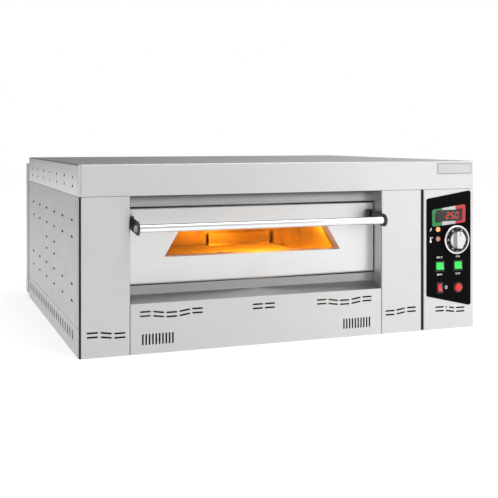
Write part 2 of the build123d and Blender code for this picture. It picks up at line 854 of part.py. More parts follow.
with BuildPart() as gas_valve:
    block(valve_left, valve_left + valve_width, valve_front, valve_back,
          burner_height - valve_height / 2, burner_height + valve_height / 2)
    fillet(gas_valve.edges().filter_by(Axis.Z), radius=valve_corner)
    block(valve_left + valve_foot_inset, valve_left + valve_width - valve_foot_inset,
          valve_front + valve_foot_inset, valve_back - valve_foot_inset, tray_thickness,
          burner_height - valve_height / 2)
    valve_top = burner_height + valve_height / 2
    for coil_y in (manifold_y - solenoid_spacing / 2, manifold_y + solenoid_spacing / 2):
        rod_z(valve_x, coil_y, solenoid_radius, valve_top, valve_top + solenoid_height)
save(gas_valve, "gas_valve")

with BuildPart() as gas_inlet_fitting:
    inlet_end = rear_end + gas_nut_thickness + gas_inlet_length
    rod_y(valve_x, burner_height, gas_thread_radius, valve_back, inlet_end)
    hex_y(valve_x, burner_height, gas_hex, rear_end, rear_end + gas_nut_thickness)
    rod_y(valve_x, burner_height, gas_bore_radius, valve_back + sheet, inlet_end,
          mode=Mode.SUBTRACT)
    chamfer(gas_inlet_fitting.faces().sort_by(Axis.Y)[-1].edges(), length=thread_chamfer)
save(gas_inlet_fitting, "gas_inlet_fitting")

with BuildPart() as electrodes:
    for electrode_x in electrode_xs:
        rod_y(electrode_x, electrode_z, ceramic_radius, chamber_back - ceramic_reach,
              rear_wall_back + ceramic_tail)
        rod_y(electrode_x, electrode_z, injector_bore, chamber_back - electrode_reach,
              chamber_back - ceramic_reach)
save(electrodes, "electrodes")

# ---- control side ----
with BuildPart() as control_bulkhead:
    block(bulkhead_x, bulkhead_x + sheet, front + sheet, back - sheet, tray_thickness, pillar_top)
    rod_x(manifold_y, burner_height, manifold_radius + hole_clearance, bulkhead_x - overrun,
          bulkhead_x + overrun, mode=Mode.SUBTRACT)
save(control_bulkhead, "control_bulkhead")

with BuildPart() as burner_controller:
    box_y, box_z = controller_place
    deep, long, tall = controller_size
    block(bulkhead_x + sheet, bulkhead_x + sheet + deep, box_y, box_y + long, box_z, box_z + tall)
    fillet(burner_controller.edges().filter_by(Axis.X), radius=valve_corner)
save(burner_controller, "burner_controller")

with BuildPart() as terminal_block:
    row_y, row_z = terminal_place
    deep, long, tall = terminal_size
    terminal_pitch = long / (terminal_count + 1)
    row_face = bulkhead_x + sheet + deep
    block(bulkhead_x + sheet, row_face, row_y, row_y + long, row_z, row_z + tall)
    for number in range(terminal_count):
        cell_y = row_y + (number + 1) * terminal_pitch
        block(row_face - deep / 4, row_face + overrun, cell_y - terminal_pitch / 3,
              cell_y + terminal_pitch / 3, row_z + tall / 4, row_z + tall * 3 / 4,
              mode=Mode.SUBTRACT)
save(terminal_block, "terminal_block")

with BuildPart() as cable_gland:
    nut_back = rear_end - sheet
    gland_start = nut_back - gland_nut_thickness * 2
    dome_start = rear_end + gland_body_length
    gland_end = dome_start + gland_dome_length
    rod_y(gland_x, gland_z, gland_thread_radius, gland_start, rear_end)
    hex_y(gland_x, gland_z, gland_hex, nut_back - gland_nut_thickness, nut_back)
    hex_y(gland_x, gland_z, gland_hex, rear_end, dome_start)
    rod_y(gland_x, gland_z, gland_thread_radius - hole_clearance, dome_start, gland_end)
    fillet(cable_gland.faces().sort_by(Axis.Y)[-1].edges(), radius=edge_radius)
    rod_y(gland_x, gland_z, gland_bore_radius, gland_start, gland_end, mode=Mode.SUBTRACT)
save(cable_gland, "cable_gland")

knob_base = label_face - knob_gap
with BuildPart() as thermostat_body:
    wide, deep, tall = thermostat_size
    block(knob_x - wide / 2, knob_x + wide / 2, inside, inside + deep, knob_z - tall / 2,
          knob_z + tall / 2)
    rod_y(knob_x, knob_z, spindle_radius, knob_base - spindle_length + sheet, inside)
save(thermostat_body, "thermostat_body")

display_left = display_x - display_width / 2
display_right = display_x + display_width / 2
display_bottom = display_z - display_height / 2
display_top = display_z + display_height / 2
with BuildPart() as display_module:
    block(display_left - display_rim, display_right + display_rim, inside, inside + display_depth,
          display_bottom - display_rim, display_top + display_rim)
save(display_module, "display_module")

with BuildPart() as display_window:
    block(display_left, display_right, label_face - panel_gap, inside, display_bottom, display_top)
save(display_window, "display_window")

with BuildPart() as control_label:
    with BuildSketch(Plane.XZ.offset(-front)) as label_outline:
        with BuildLine():
            Polyline((label_left, label_left_bottom), (label_left, label_left_top),
                     (label_right, label_right_top), (label_right, label_right_bottom), close=True)
        make_face()
        fillet(label_outline.vertices(), radius=label_corner)
    extrude(amount=label_thickness)
    front_cut(control_openings.sketch)
save(control_label, "control_label")

with BuildPart() as indicator_lamps:
    for lamp_z in (lamp_upper_z, lamp_lower_z):
        rod_y(lamp_x, lamp_z, lamp_radius, label_face - lamp_dome, label_face)
    dome_faces = indicator_lamps.faces().filter_by(Axis.Y).group_by(Axis.Y)[0]
    fillet(dome_faces.edges(), radius=lamp_dome * 0.7)
    for lamp_z in (lamp_upper_z, lamp_lower_z):
        rod_y(lamp_x, lamp_z, lamp_radius - lamp_stem_step, label_face, inside + lamp_tail)
save(indicator_lamps, "indicator_lamps")

bezel_front = label_face - bezel_thickness
pivot_y = bezel_front + rocker_pivot_depth
cavity_back = pivot_y + rocker_depth


def rocker_housing(x, z, rocker):
    """The housing of one rocker switch: bezel, body, cavity and pivot holes."""
    wide, high = housing_size(rocker)
    block(x - wide / 2 - bezel_lip, x + wide / 2 + bezel_lip, bezel_front, label_face,
          z - high / 2 - bezel_lip, z + high / 2 + bezel_lip)
    block(x - wide / 2, x + wide / 2, label_face, front + housing_depth,
          z - high / 2, z + high / 2)
    block(x - wide / 2 + housing_wall, x + wide / 2 - housing_wall, bezel_front, cavity_back,
          z - high / 2 + housing_wall, z + high / 2 - housing_wall, mode=Mode.SUBTRACT)
    rod_x(pivot_y, z, trunnion_radius + handle_fit, x - wide / 2, x + wide / 2, mode=Mode.SUBTRACT)


def rocker_switch(x, z, rocker):
    """A rocker with a shallow valley across its face, at rest with its top pressed in."""
    wide, high = rocker
    half = high / 2
    tip = rocker_depth
    root = rocker_depth / 3
    with BuildSketch(Plane(origin=(x - wide / 2, pivot_y, z), x_dir=(0, 1, 0),
                           z_dir=(1, 0, 0))) as section:
        Polygon((root, -half * 2 / 3), (-tip / 2, -half), (-tip, -half), (rocker_valley - tip, 0),
                (-tip, half), (-tip / 2, half), (root, half * 2 / 3), rotation=-rocker_tilt,
                align=None)
    extrude(section.sketch, amount=wide)
    reach = wide / 2 + rocker_play + housing_wall * 0.8
    rod_x(pivot_y, z, trunnion_radius, x - reach, x + reach)


button_front = bezel_front - button_rise
button_back = label_face + button_tail
with BuildPart() as switch_housings:
    rocker_housing(left_switch_x, green_switch_z, green_rocker)
    rocker_housing(right_switch_x, green_switch_z, green_rocker)
    rocker_housing(left_switch_x, red_switch_z, red_rocker)
    rod_y(right_switch_x, button_z, button_body_radius + bezel_lip, bezel_front, label_face)
    rod_y(right_switch_x, button_z, button_body_radius, label_face, front + housing_depth)
    rod_y(right_switch_x, button_z, button_radius + button_play, bezel_front,
          button_back + button_travel + sheet, mode=Mode.SUBTRACT)
save(switch_housings, "switch_housings")

with BuildPart() as burner_rocker:
    rocker_switch(left_switch_x, green_switch_z, green_rocker)
save(burner_rocker, "burner_rocker")

with BuildPart() as power_rocker:
    rocker_switch(right_switch_x, green_switch_z, green_rocker)
save(power_rocker, "power_rocker")

with BuildPart() as light_rocker:
    rocker_switch(left_switch_x, red_switch_z, red_rocker)
save(light_rocker, "light_rocker")

with BuildPart() as reset_button:
    rod_y(right_switch_x, button_z, button_radius, button_front, button_back)
    fillet(reset_button.faces().sort_by(Axis.Y)[0].edges(), radius=button_edge)
save(reset_button, "reset_button")

# ---- temperature knob ----
grip_foot = knob_base - skirt_thickness + scale_depth
bore_end = knob_base - spindle_length
with BuildPart() as knob_skirt:
    rod_y(knob_x, knob_z, skirt_radius, knob_base - skirt_thickness, knob_base)
    fillet(knob_skirt.faces().sort_by(Axis.Y)[0].edges(), radius=skirt_edge)
    rod_y(knob_x, knob_z, grip_radius + scale_width, knob_base - skirt_thickness, grip_foot,
          mode=Mode.SUBTRACT)
    rod_y(knob_x, knob_z, spindle_radius + pin_clearance, bore_end, knob_base, mode=Mode.SUBTRACT)
save(knob_skirt, "knob_skirt")

with BuildPart() as knob_grip:
    grip_front = grip_foot - grip_height
    rod_y(knob_x, knob_z, grip_radius, grip_front, grip_foot)
    fillet(knob_grip.faces().sort_by(Axis.Y)[0].edges(), radius=grip_edge)
    for side in (-1, 1):
        edge = knob_x + side * grip_bar / 2
        far = knob_x + side * grip_radius * 2
        block(min(edge, far), max(edge, far), grip_front - overrun, grip_foot - grip_base,
              knob_z - grip_radius * 2, knob_z + grip_radius * 2, mode=Mode.SUBTRACT)
    rod_y(knob_x, knob_z, spindle_radius + pin_clearance, bore_end, grip_foot, mode=Mode.SUBTRACT)
save(knob_grip, "knob_grip")

# ---- door hinge on the oven's side ----
left_bush_face = bay_left - sheet
right_bush_face = bay_right + sheet
left_bush_end = left_bush_face - bush_flange_thickness - bush_length
right_bush_end = right_bush_face + bush_flange_thickness + bush_length
with BuildPart() as hinge_bushes:
    for face, side, end in ((left_bush_face, -1, left_bush_end),
                            (right_bush_face, 1, right_bush_end)):
        flange_end = face + side * bush_flange_thickness
        half = bush_flange / 2
        block(min(face, flange_end), max(face, flange_end), hinge_y - half, hinge_y + half,
              hinge_z - half, hinge_z + half)
        rod_x(hinge_y, hinge_z, pin_radius + bush_wall, min(flange_end, end), max(flange_end, end))
        rod_x(hinge_y, hinge_z, pin_radius + pin_clearance, min(face, end), max(face, end),
              mode=Mode.SUBTRACT)
save(hinge_bushes, "hinge_bushes")

coil_radius = pin_radius + spring_space + spring_wire / 2
coil_pitch = spring_wire + soft_gap
with BuildPart() as door_springs:
    for end, side in ((left_bush_end, -1), (right_bush_end, 1)):
        coil_start = (end + side * (spring_wire / 2 + pin_clearance), hinge_y, hinge_z)
        with BuildLine() as coil:
            Helix(coil_pitch, coil_pitch * spring_turns, coil_radius, center=coil_start,
                  direction=(side, 0, 0))
        with BuildSketch(Plane(origin=coil.line @ 0, z_dir=coil.line % 0)) as wire:
            Circle(spring_wire / 2)
        sweep(wire.sketch, path=coil.line)
save(door_springs, "door_springs")

# ---- door ----

def window_outline(grow, y):
    """The trapezoid of the window, grown all round, on a plane facing the front."""
    top_half = window_half_width - window_slope * (window_top - window_bottom)
    with BuildSketch(Plane.XZ.offset(-y), mode=Mode.PRIVATE) as outline:
        with BuildLine():
            Polyline((fittings_centre - window_half_width, window_bottom),
                     (fittings_centre + window_half_width, window_bottom),
                     (fittings_centre + top_half, window_top),
                     (fittings_centre - top_half, window_top), close=True)
        make_face()
        fillet(outline.vertices(), radius=window_corner)
        if grow > 0:
            offset(amount=grow)
    return outline.sketch


pane_front = door_back - sheet - glass_thickness
tunnel_end = pane_front - gasket_thickness
handle_y = door_face - handle_standoff
handle_length = door_right - door_left - 2 * handle_inset
tube_left = fittings_centre - handle_length / 2
tube_right = fittings_centre + handle_length / 2
bracket_screw_heights = (bracket_foot_bottom + screw_inset, bracket_foot_top - screw_inset)
bracket_screw_xs = (tube_left - bracket_thickness + bracket_foot_width / 2,
                    tube_right + bracket_thickness - bracket_foot_width / 2)
back_cut = door_thickness * 2

with BuildPart() as door_outer_skin:
    block(door_left, door_right, door_face, door_split, door_bottom, door_top)
    front_edges = door_outer_skin.edges().filter_by(Axis.X).group_by(Axis.Y)[0]
    fillet(front_edges.sort_by(Axis.Z)[0], radius=door_edge_radius)
    front_edges = door_outer_skin.edges().filter_by(Axis.X).group_by(Axis.Y)[0]
    fillet(front_edges.sort_by(Axis.Z)[-1], radius=edge_radius)
    offset(amount=-sheet, openings=door_outer_skin.faces().sort_by(Axis.Y)[-1])
    with BuildSketch(Plane.XZ.offset(-door_split)) as rear_lip:
        with Locations(((door_left + door_right) / 2, (door_bottom + door_top) / 2)):
            Rectangle(door_right - door_left, door_height)
            Rectangle(door_right - door_left - 4 * door_step, door_height - 4 * door_step,
                      mode=Mode.SUBTRACT)
    extrude(rear_lip.sketch, amount=sheet)
    extrude(window_outline(window_wall, door_face), amount=overrun, both=True,
            mode=Mode.SUBTRACT)
    rod_x(hinge_y, hinge_z, pin_radius + pin_clearance, door_left - overrun,
          door_right + overrun, mode=Mode.SUBTRACT)
    for screw_x in bracket_screw_xs:
        for screw_z in bracket_screw_heights:
            rod_y(screw_x, screw_z, screw_radius + handle_fit, door_face - overrun,
                  door_face + overrun, mode=Mode.SUBTRACT)
save(door_outer_skin, "door_outer_skin")

with BuildPart() as door_inner_skin:
    block(door_left + door_step / 2, door_right - door_step / 2, door_split, door_back,
          door_bottom + door_step, door_top - door_step)
    back_edges = door_inner_skin.edges().group_by(Axis.Y)[-1]
    fillet(back_edges, radius=edge_radius)
    offset(amount=-sheet, openings=door_inner_skin.faces().sort_by(Axis.Y)[0])
    extrude(window_outline(0, door_back), amount=overrun, both=True, mode=Mode.SUBTRACT)
save(door_inner_skin, "door_inner_skin")

with BuildPart() as window_frame:
    extrude(window_outline(window_wall, tunnel_end), amount=tunnel_end - door_face)
    extrude(window_outline(glass_margin, tunnel_end), amount=sheet)
    extrude(window_outline(0, tunnel_end), amount=door_thickness, both=True, mode=Mode.SUBTRACT)
save(window_frame, "window_frame")

with BuildPart() as window_gasket:
    extrude(window_outline(glass_margin, pane_front), amount=gasket_thickness)
    extrude(window_outline(0, pane_front), amount=overrun, both=True, mode=Mode.SUBTRACT)
save(window_gasket, "window_gasket")

with BuildPart() as window_glass:
    extrude(window_outline(glass_margin, door_back - sheet), amount=glass_thickness)
save(window_glass, "window_glass")

with BuildPart() as door_insulation:
    block(door_left + filling_margin, door_right - filling_margin, door_face + sheet + soft_gap,
          tunnel_end - sheet - soft_gap, hinge_z + hinge_inset, door_top - door_step * 3)
    extrude(window_outline(window_wall + soft_gap, door_back), amount=back_cut, both=True,
            mode=Mode.SUBTRACT)
save(door_insulation, "door_insulation")

spring_length = coil_pitch * spring_turns + 2 * spring_wire
sleeve_radius = hinge_inset - sheet - pin_clearance
left_sleeve_end = door_left + pin_sleeve_length
right_sleeve_end = door_right - pin_sleeve_length
with BuildPart() as hinge_pins:
    rod_x(hinge_y, hinge_z, pin_radius, left_bush_end - spring_length, left_sleeve_end)
    rod_x(hinge_y, hinge_z, sleeve_radius, door_left + sheet, left_sleeve_end)
    rod_x(hinge_y, hinge_z, pin_radius, right_sleeve_end, right_bush_end + spring_length)
    rod_x(hinge_y, hinge_z, sleeve_radius, right_sleeve_end, door_right - sheet)
save(hinge_pins, "hinge_pins")

tube_bore = handle_radius - handle_wall
with BuildPart() as handle_tube:
    rod_x(handle_y, handle_height, handle_radius, tube_left, tube_right)
    rod_x(handle_y, handle_height, tube_bore, tube_left, tube_right, mode=Mode.SUBTRACT)
save(handle_tube, "handle_tube")

with BuildPart() as handle_brackets:
    foot_height = bracket_foot_top - bracket_foot_bottom
    foot_middle = (door_face - bracket_foot_depth / 2, bracket_foot_bottom + foot_height / 2)
    for tube_end, side in ((tube_left, -1), (tube_right, 1)):
        plate_x = min(tube_end, tube_end + side * bracket_thickness)
        foot_x = min(tube_end + side * bracket_thickness, tube_end
                     + side * (bracket_thickness - bracket_foot_width))
        with BuildSketch(Plane.YZ.offset(plate_x)) as plate:
            with Locations((handle_y, handle_height)):
                Circle(bracket_ring_radius)
            with Locations(foot_middle):
                Rectangle(bracket_foot_depth, foot_height)
            make_hull()
        extrude(plate.sketch, amount=bracket_thickness)
        with BuildSketch(Plane.YZ.offset(foot_x)) as foot:
            with Locations(foot_middle):
                Rectangle(bracket_foot_depth, foot_height)
        extrude(foot.sketch, amount=bracket_foot_width)
    rod_x(handle_y, handle_height, tube_bore + handle_fit, door_left, door_right,
          mode=Mode.SUBTRACT)
    for screw_x in bracket_screw_xs:
        for screw_z in bracket_screw_heights:
            rod_y(screw_x, screw_z, screw_radius + handle_fit, door_face - bracket_foot_depth,
                  door_face, mode=Mode.SUBTRACT)
save(handle_brackets, "handle_brackets")

with BuildPart() as handle_end_caps:
    for tube_end, side in ((tube_left, -1), (tube_right, 1)):
        dome_end = tube_end + side * (bracket_thickness + end_cap_dome)
        plug_end = tube_end - side * end_cap_plug
        rod_x(handle_y, handle_height, tube_bore, min(dome_end, plug_end), max(dome_end, plug_end))
    for number in (0, -1):
        dome_face = handle_end_caps.faces().filter_by(Axis.X).sort_by(Axis.X)[number]
        fillet(dome_face.edges(), radius=end_cap_dome * 0.6)
save(handle_end_caps, "handle_end_caps")

with BuildPart() as handle_screws:
    for screw_x in bracket_screw_xs:
        for screw_z in bracket_screw_heights:
            rod_y(screw_x, screw_z, screw_radius, door_face - bracket_foot_depth + sheet,
                  door_face + sheet)
            rod_y(screw_x, screw_z, screw_head_radius, door_face + sheet,
                  door_face + sheet + screw_head_height)
save(handle_screws, "handle_screws")
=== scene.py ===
import bmesh
import bpy
import json
import math
import numpy as np
from mathutils import Matrix, Vector


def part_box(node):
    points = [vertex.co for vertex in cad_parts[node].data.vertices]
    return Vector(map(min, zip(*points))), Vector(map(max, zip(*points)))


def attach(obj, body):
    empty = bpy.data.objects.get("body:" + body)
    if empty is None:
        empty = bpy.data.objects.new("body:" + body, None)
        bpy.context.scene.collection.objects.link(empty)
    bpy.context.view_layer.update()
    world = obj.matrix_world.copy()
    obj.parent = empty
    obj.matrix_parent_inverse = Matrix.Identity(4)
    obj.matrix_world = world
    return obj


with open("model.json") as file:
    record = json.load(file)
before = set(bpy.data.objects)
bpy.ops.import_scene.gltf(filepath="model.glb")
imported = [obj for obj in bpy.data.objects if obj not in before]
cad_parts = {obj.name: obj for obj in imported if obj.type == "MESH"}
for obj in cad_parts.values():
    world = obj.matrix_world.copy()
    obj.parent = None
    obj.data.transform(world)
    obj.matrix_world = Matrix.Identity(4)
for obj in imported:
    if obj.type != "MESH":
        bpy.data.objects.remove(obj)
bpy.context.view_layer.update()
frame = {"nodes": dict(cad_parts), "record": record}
nodes = frame["nodes"]
print("frame loaded:", len(nodes), "nodes")

mm = 0.001


# One value, colour or vector on its way through a material. Arithmetic on it adds Math nodes.
class Flow:
    def __init__(self, shader, socket):
        self.shader = shader
        self.socket = socket

    def maths(self, operation, *others):
        inputs = {0: self}
        for number, other in enumerate(others):
            inputs[number + 1] = other
        return self.shader.node("ShaderNodeMath", {"operation": operation}, inputs)

    def flipped(self, operation, first):
        return self.shader.node("ShaderNodeMath", {"operation": operation}, {0: first, 1: self})

    def __add__(self, other):
        return self.maths("ADD", other)

    def __radd__(self, other):
        return self.maths("ADD", other)

    def __sub__(self, other):
        return self.maths("SUBTRACT", other)

    def __rsub__(self, other):
        return self.flipped("SUBTRACT", other)

    def __mul__(self, other):
        return self.maths("MULTIPLY", other)

    def __rmul__(self, other):
        return self.maths("MULTIPLY", other)

    def __pow__(self, other):
        return self.maths("POWER", other)

    def __gt__(self, other):
        return self.maths("GREATER_THAN", other)

    def __lt__(self, other):
        return self.maths("LESS_THAN", other)

    def __abs__(self):
        return self.maths("ABSOLUTE")

    def ramp(self, low, high, outLow=0.0, outHigh=1.0):  # a smooth step from outLow to outHigh
        return self.shader.node("ShaderNodeMapRange", {"interpolation_type": "SMOOTHSTEP"},
                                {"Value": self, "From Min": low, "From Max": high,
                                 "To Min": outLow, "To Max": outHigh})

    def parts(self):  # the x, y and z of a vector
        split = self.shader.tree.nodes.new("ShaderNodeSeparateXYZ")
        self.shader.feed(split.inputs[0], self)
        return [Flow(self.shader, output) for output in split.outputs]

    def scaled(self, x, y, z):
        return self.shader.node("ShaderNodeVectorMath", {"operation": "MULTIPLY"},
                                {0: self, 1: (x, y, z)})

    def moved(self, x, y, z):
        return self.shader.node("ShaderNodeVectorMath", {"operation": "ADD"},
                                {0: self, 1: (x, y, z)})


# The node tree of one material, or of the world.
class Shader:
    def __init__(self, owner):
        owner.use_nodes = True
        self.owner = owner
        self.tree = owner.node_tree
        self.tree.nodes.clear()

    def feed(self, socket, value):
        if isinstance(value, Flow):
            self.tree.links.new(value.socket, socket)
        elif hasattr(socket.default_value, "__len__") and len(socket.default_value) == 4 \
                and len(value) == 3:
            socket.default_value = (*value, 1.0)
        else:
            socket.default_value = value

    def node(self, kind, settings=None, inputs=None, output=0):
        made = self.tree.nodes.new(kind)
        for key, value in (settings or {}).items():
            setattr(made, key, value)
        for key, value in (inputs or {}).items():
            self.feed(made.inputs[key], value)
        return Flow(self, made.outputs[output]) if len(made.outputs) else None

    def place(self):
        return self.node("ShaderNodeTexCoord", output="Object")

    def noise(self, vector, scale, detail=2.0, rough=0.5):
        return self.node("ShaderNodeTexNoise", {}, {"Vector": vector, "Scale": scale,
                                                    "Detail": detail, "Roughness": rough}, "Fac")

    def blend(self, factor, first, second):
        return self.node("ShaderNodeMix", {"data_type": "RGBA"}, {0: factor, 6: first, 7: second}, 2)

    def bump(self, height, strength, distance):
        return self.node("ShaderNodeBump", {}, {"Strength": strength, "Distance": distance,
                                                "Height": height})

    def surface(self, **inputs):
        named = {key.replace("_", " "): value for key, value in inputs.items()}
        bsdf = self.node("ShaderNodeBsdfPrincipled", {}, named)
        self.node("ShaderNodeOutputMaterial", {}, {"Surface": bsdf})
        return self.owner


def newShader(name):
    return Shader(bpy.data.materials.new(name))


# Brushed sheet: long streaks that run level on upright faces and left to right on flat ones.
# Faces inside a given box, behind slots and folds, are painted dark as shade where little light reaches. A
# painted shade can also darken the sheet along one axis.
casingLook = {"colour": (0.69, 0.69, 0.685), "rough": 0.46, "roughSwing": 0.10, "cloudSwing": 0.06,
              "smudge": 0.05, "fine": 2400.0, "along": 9.0, "tone": 0.05, "bump": 0.05,
              "depth": 0.00004, "spread": 0.85, "paintedShadeShare": 0.10, "paintedShadeRough": 0.3,
              "inside": None, "recessShade": None}


def insideMask(place, box):
    (lowX, lowY, lowZ), (highX, highY, highZ) = box
    x, y, z = place.parts()
    return (x > lowX) * (x < highX) * (y > lowY) * (y < highY) * (z > lowZ) * (z < highZ)


def brushedSteel(name, look):
    shader = newShader(name)
    place = shader.place()
    normal = shader.node("ShaderNodeNewGeometry", output="Normal")
    facing = abs(normal.parts()[2])
    upright = shader.noise(place.scaled(look["along"], look["along"], look["fine"]), 1.0, 3.0, 0.6)
    level = shader.noise(place.scaled(look["along"], look["fine"], look["along"]), 1.0, 3.0, 0.6)
    flat = facing.ramp(0.4, 0.6)
    grain = upright * (1.0 - flat) + level * flat
    clouds = shader.noise(place, 4.0, 3.0, 0.55)
    smudge = shader.noise(place.moved(3.1, 1.7, 0.4), 17.0, 4.0, 0.6).ramp(0.5, 0.75)
    tone = look["tone"]
    dark = tuple(value * (1.0 - tone) for value in look["colour"])
    light = tuple(min(1.0, value * (1.0 + tone)) for value in look["colour"])
    colour = shader.blend(grain * 0.6 + clouds * 0.4, dark, light)
    rough = look["rough"] + (grain - 0.5) * look["roughSwing"] + (clouds - 0.5) * look["cloudSwing"] \
        + smudge * look["smudge"]
    paintedShadeColour = tuple(value * look["paintedShadeShare"] for value in look["colour"])
    # painted shade: faces inside the box take a dark colour in place of the shade there
    if look["inside"]:
        paintedShadeMask = insideMask(place, look["inside"])
        colour = shader.blend(paintedShadeMask, colour, paintedShadeColour)
        rough = rough + paintedShadeMask * look["paintedShadeRough"]
    recessShade = look["recessShade"]
    if recessShade:  # painted shade: the sheet darkens from one place to the next along one axis, deepest in a recess
        along = place.parts()[recessShade["axis"]]
        drift = (shader.noise(place.scaled(9.0, 9.0, 60.0), 1.0, 3.0, 0.6) - 0.5) * 0.12
        shadeGrowth = along.ramp(recessShade["start"], recessShade["end"]) ** recessShade["curl"]
        amount = shadeGrowth * (recessShade["most"] - recessShade["least"]) + recessShade["least"] + drift * (along > recessShade["start"])
        colour = shader.blend(amount, colour, paintedShadeColour)
    return shader.surface(Base_Color=colour, Metallic=1.0, Roughness=rough,
                          Anisotropic=look["spread"], Anisotropic_Rotation=0.25,
                          Normal=shader.bump(grain, look["bump"], look["depth"]))


# Straw and brown heat colours lie over the brushed walls of the baking chamber.
def heatedSteel(name, look):
    shader = newShader(name)
    place = shader.place()
    grain = shader.noise(place.scaled(look["along"], look["along"], look["fine"]), 1.0, 3.0, 0.6)
    clouds = shader.noise(place, 5.0, 4.0, 0.6)
    soot = shader.noise(place.moved(0.7, 0.2, 1.3), 11.0, 5.0, 0.65).ramp(0.5, 0.72)
    colour = shader.blend(clouds.ramp(0.3, 0.7), look["colour"], look["straw"])
    colour = shader.blend(soot * 0.5, colour, look["soot"])
    rough = look["rough"] + (grain - 0.5) * 0.14 + soot * 0.2
    return shader.surface(Base_Color=colour, Metallic=1.0, Roughness=rough,
                          Normal=shader.bump(grain, 0.06, 0.00005))


# Zinc sheet with its pattern of flat crystals.
def spangledZinc(name, colour, inside=None):
    shader = newShader(name)
    place = shader.place()
    cells = shader.node("ShaderNodeTexVoronoi", {}, {"Vector": place, "Scale": 130.0}, "Color")
    tone = cells.parts()[0]
    wear = shader.noise(place, 14.0, 4.0, 0.6)
    shade = shader.blend(tone * 0.7 + wear * 0.3, tuple(value * 0.8 for value in colour),
                         tuple(min(1.0, value * 1.15) for value in colour))
    # painted shade: zinc inside the box is darkened to stand in for the shade there
    if inside:
        shade = shader.blend(insideMask(place, inside), shade, tuple(value * 0.12 for value in colour))
    return shader.surface(Base_Color=shade, Metallic=1.0, Roughness=0.36 + tone * 0.16 + wear * 0.1,
                          Normal=shader.bump(tone, 0.08, 0.00005))


def plainPlastic(name, colour, rough, speckle=0.02, coat=0.0, emission=None, glow=0.0, gloss=0.5):
    shader = newShader(name)
    place = shader.place()
    fine = shader.noise(place, 1800.0, 2.0, 0.6)
    wide = shader.noise(place, 60.0, 3.0, 0.6)
    darker = tuple(value * 0.85 for value in colour)
    mixed = shader.blend(wide, darker, colour)
    inputs = {"Base_Color": mixed, "Roughness": rough + (wide - 0.5) * 0.12,
              "Coat_Weight": coat, "Specular_IOR_Level": gloss,
              "Normal": shader.bump(fine, speckle * 5.0, 0.00003)}
    if emission:
        inputs["Emission_Color"] = shader.blend(wide, tuple(value * 0.75 for value in emission), emission)
        inputs["Emission_Strength"] = glow
    return shader.surface(**inputs)


# Two lamps in one lens strip: the upper one is lit.
def pilotLens(name, split):
    shader = newShader(name)
    place = shader.place()
    height = place.parts()[2]
    lit = height.ramp(split - 0.002, split + 0.002)
    haze = shader.noise(place, 300.0, 3.0, 0.6)
    colour = shader.blend(lit, (0.55, 0.25, 0.16), (1.0, 0.42, 0.18))
    glow = shader.blend(lit, (0.10, 0.03, 0.015), (1.0, 0.30, 0.08))
    return shader.surface(Base_Color=colour, Roughness=0.22 + haze * 0.12, Coat_Weight=0.3,
                          Emission_Color=shader.blend(haze * 0.3, glow, (0.9, 0.45, 0.2)),
                          Emission_Strength=0.85)


def polishedMetal(name, colour, rough):
    shader = newShader(name)
    place = shader.place()
    scratches = shader.noise(place.scaled(40.0, 900.0, 900.0), 1.0, 4.0, 0.7)
    haze = shader.noise(place, 35.0, 3.0, 0.6)
    tint = shader.blend(haze, tuple(value * 0.96 for value in colour), colour)
    return shader.surface(Base_Color=tint, Metallic=1.0,
                          Roughness=rough + haze * 0.03 + scratches.ramp(0.55, 0.8) * 0.05,
                          Normal=shader.bump(scratches, 0.012, 0.00001))


def clearPane(name, tint, alpha, rough):
    shader = newShader(name)
    place = shader.place()
    film = shader.noise(place, 9.0, 4.0, 0.6)
    return shader.surface(Base_Color=tint, Roughness=rough + film * 0.04, Alpha=alpha + film * 0.02,
                          Specular_IOR_Level=0.5)


def fireStone(name):
    shader = newShader(name)
    place = shader.place()
    grains = shader.noise(place, 420.0, 3.0, 0.7)
    patches = shader.noise(place, 7.0, 4.0, 0.6)
    pores = shader.node("ShaderNodeTexVoronoi", {}, {"Vector": place, "Scale": 260.0}, "Distance")
    pits = pores.ramp(0.05, 0.22)
    colour = shader.blend(patches.ramp(0.3, 0.75), (0.66, 0.56, 0.42), (0.48, 0.37, 0.25))
    colour = shader.blend(grains * 0.5, colour, (0.80, 0.72, 0.58))
    return shader.surface(Base_Color=colour, Roughness=0.80 + patches * 0.1,
                          Normal=shader.bump(grains * 0.5 + pits, 0.4, 0.0006))


# Bands of colour printed side by side; each edge is an x place on the object.
def printedBands(name, colours, edges):
    shader = newShader(name)
    place = shader.place()
    x = place.parts()[0]
    haze = shader.noise(place, 500.0, 3.0, 0.6)
    colour = colours[0]
    for edge, following in zip(edges, colours[1:]):
        colour = shader.blend(x > edge, colour, following)
    colour = shader.blend(haze * 0.08, colour, (0.3, 0.3, 0.3))
    return shader.surface(Base_Color=colour, Roughness=0.32 + haze * 0.08,
                          Normal=shader.bump(haze, 0.05, 0.00002))


# The space inside the casing, a skin in from the outside of its sheets.
skin = {"sheet": 0.6 * mm, "front": 1.0 * mm}
bodyLow = Vector((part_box("side_panel_left")[0].x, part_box("top_fascia")[0].y, 0.0))
bodyHigh = Vector((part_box("side_panel_right")[1].x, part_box("rear_panel")[1].y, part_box("top_cover")[1].z))
hollow = (tuple(bodyLow + Vector((skin["sheet"], skin["front"], skin["sheet"]))),
          tuple(bodyHigh - Vector((skin["sheet"], skin["sheet"], skin["sheet"]))))
farOff = 1.0  # metres, beyond any part of the oven


def openBack(node, top=farOff):  # the space that a folded front encloses, a skin in from its outside
    low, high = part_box(node)
    sheet = skin["sheet"]
    return (low.x + sheet, low.y + sheet, -farOff), (high.x - sheet, farOff, top)


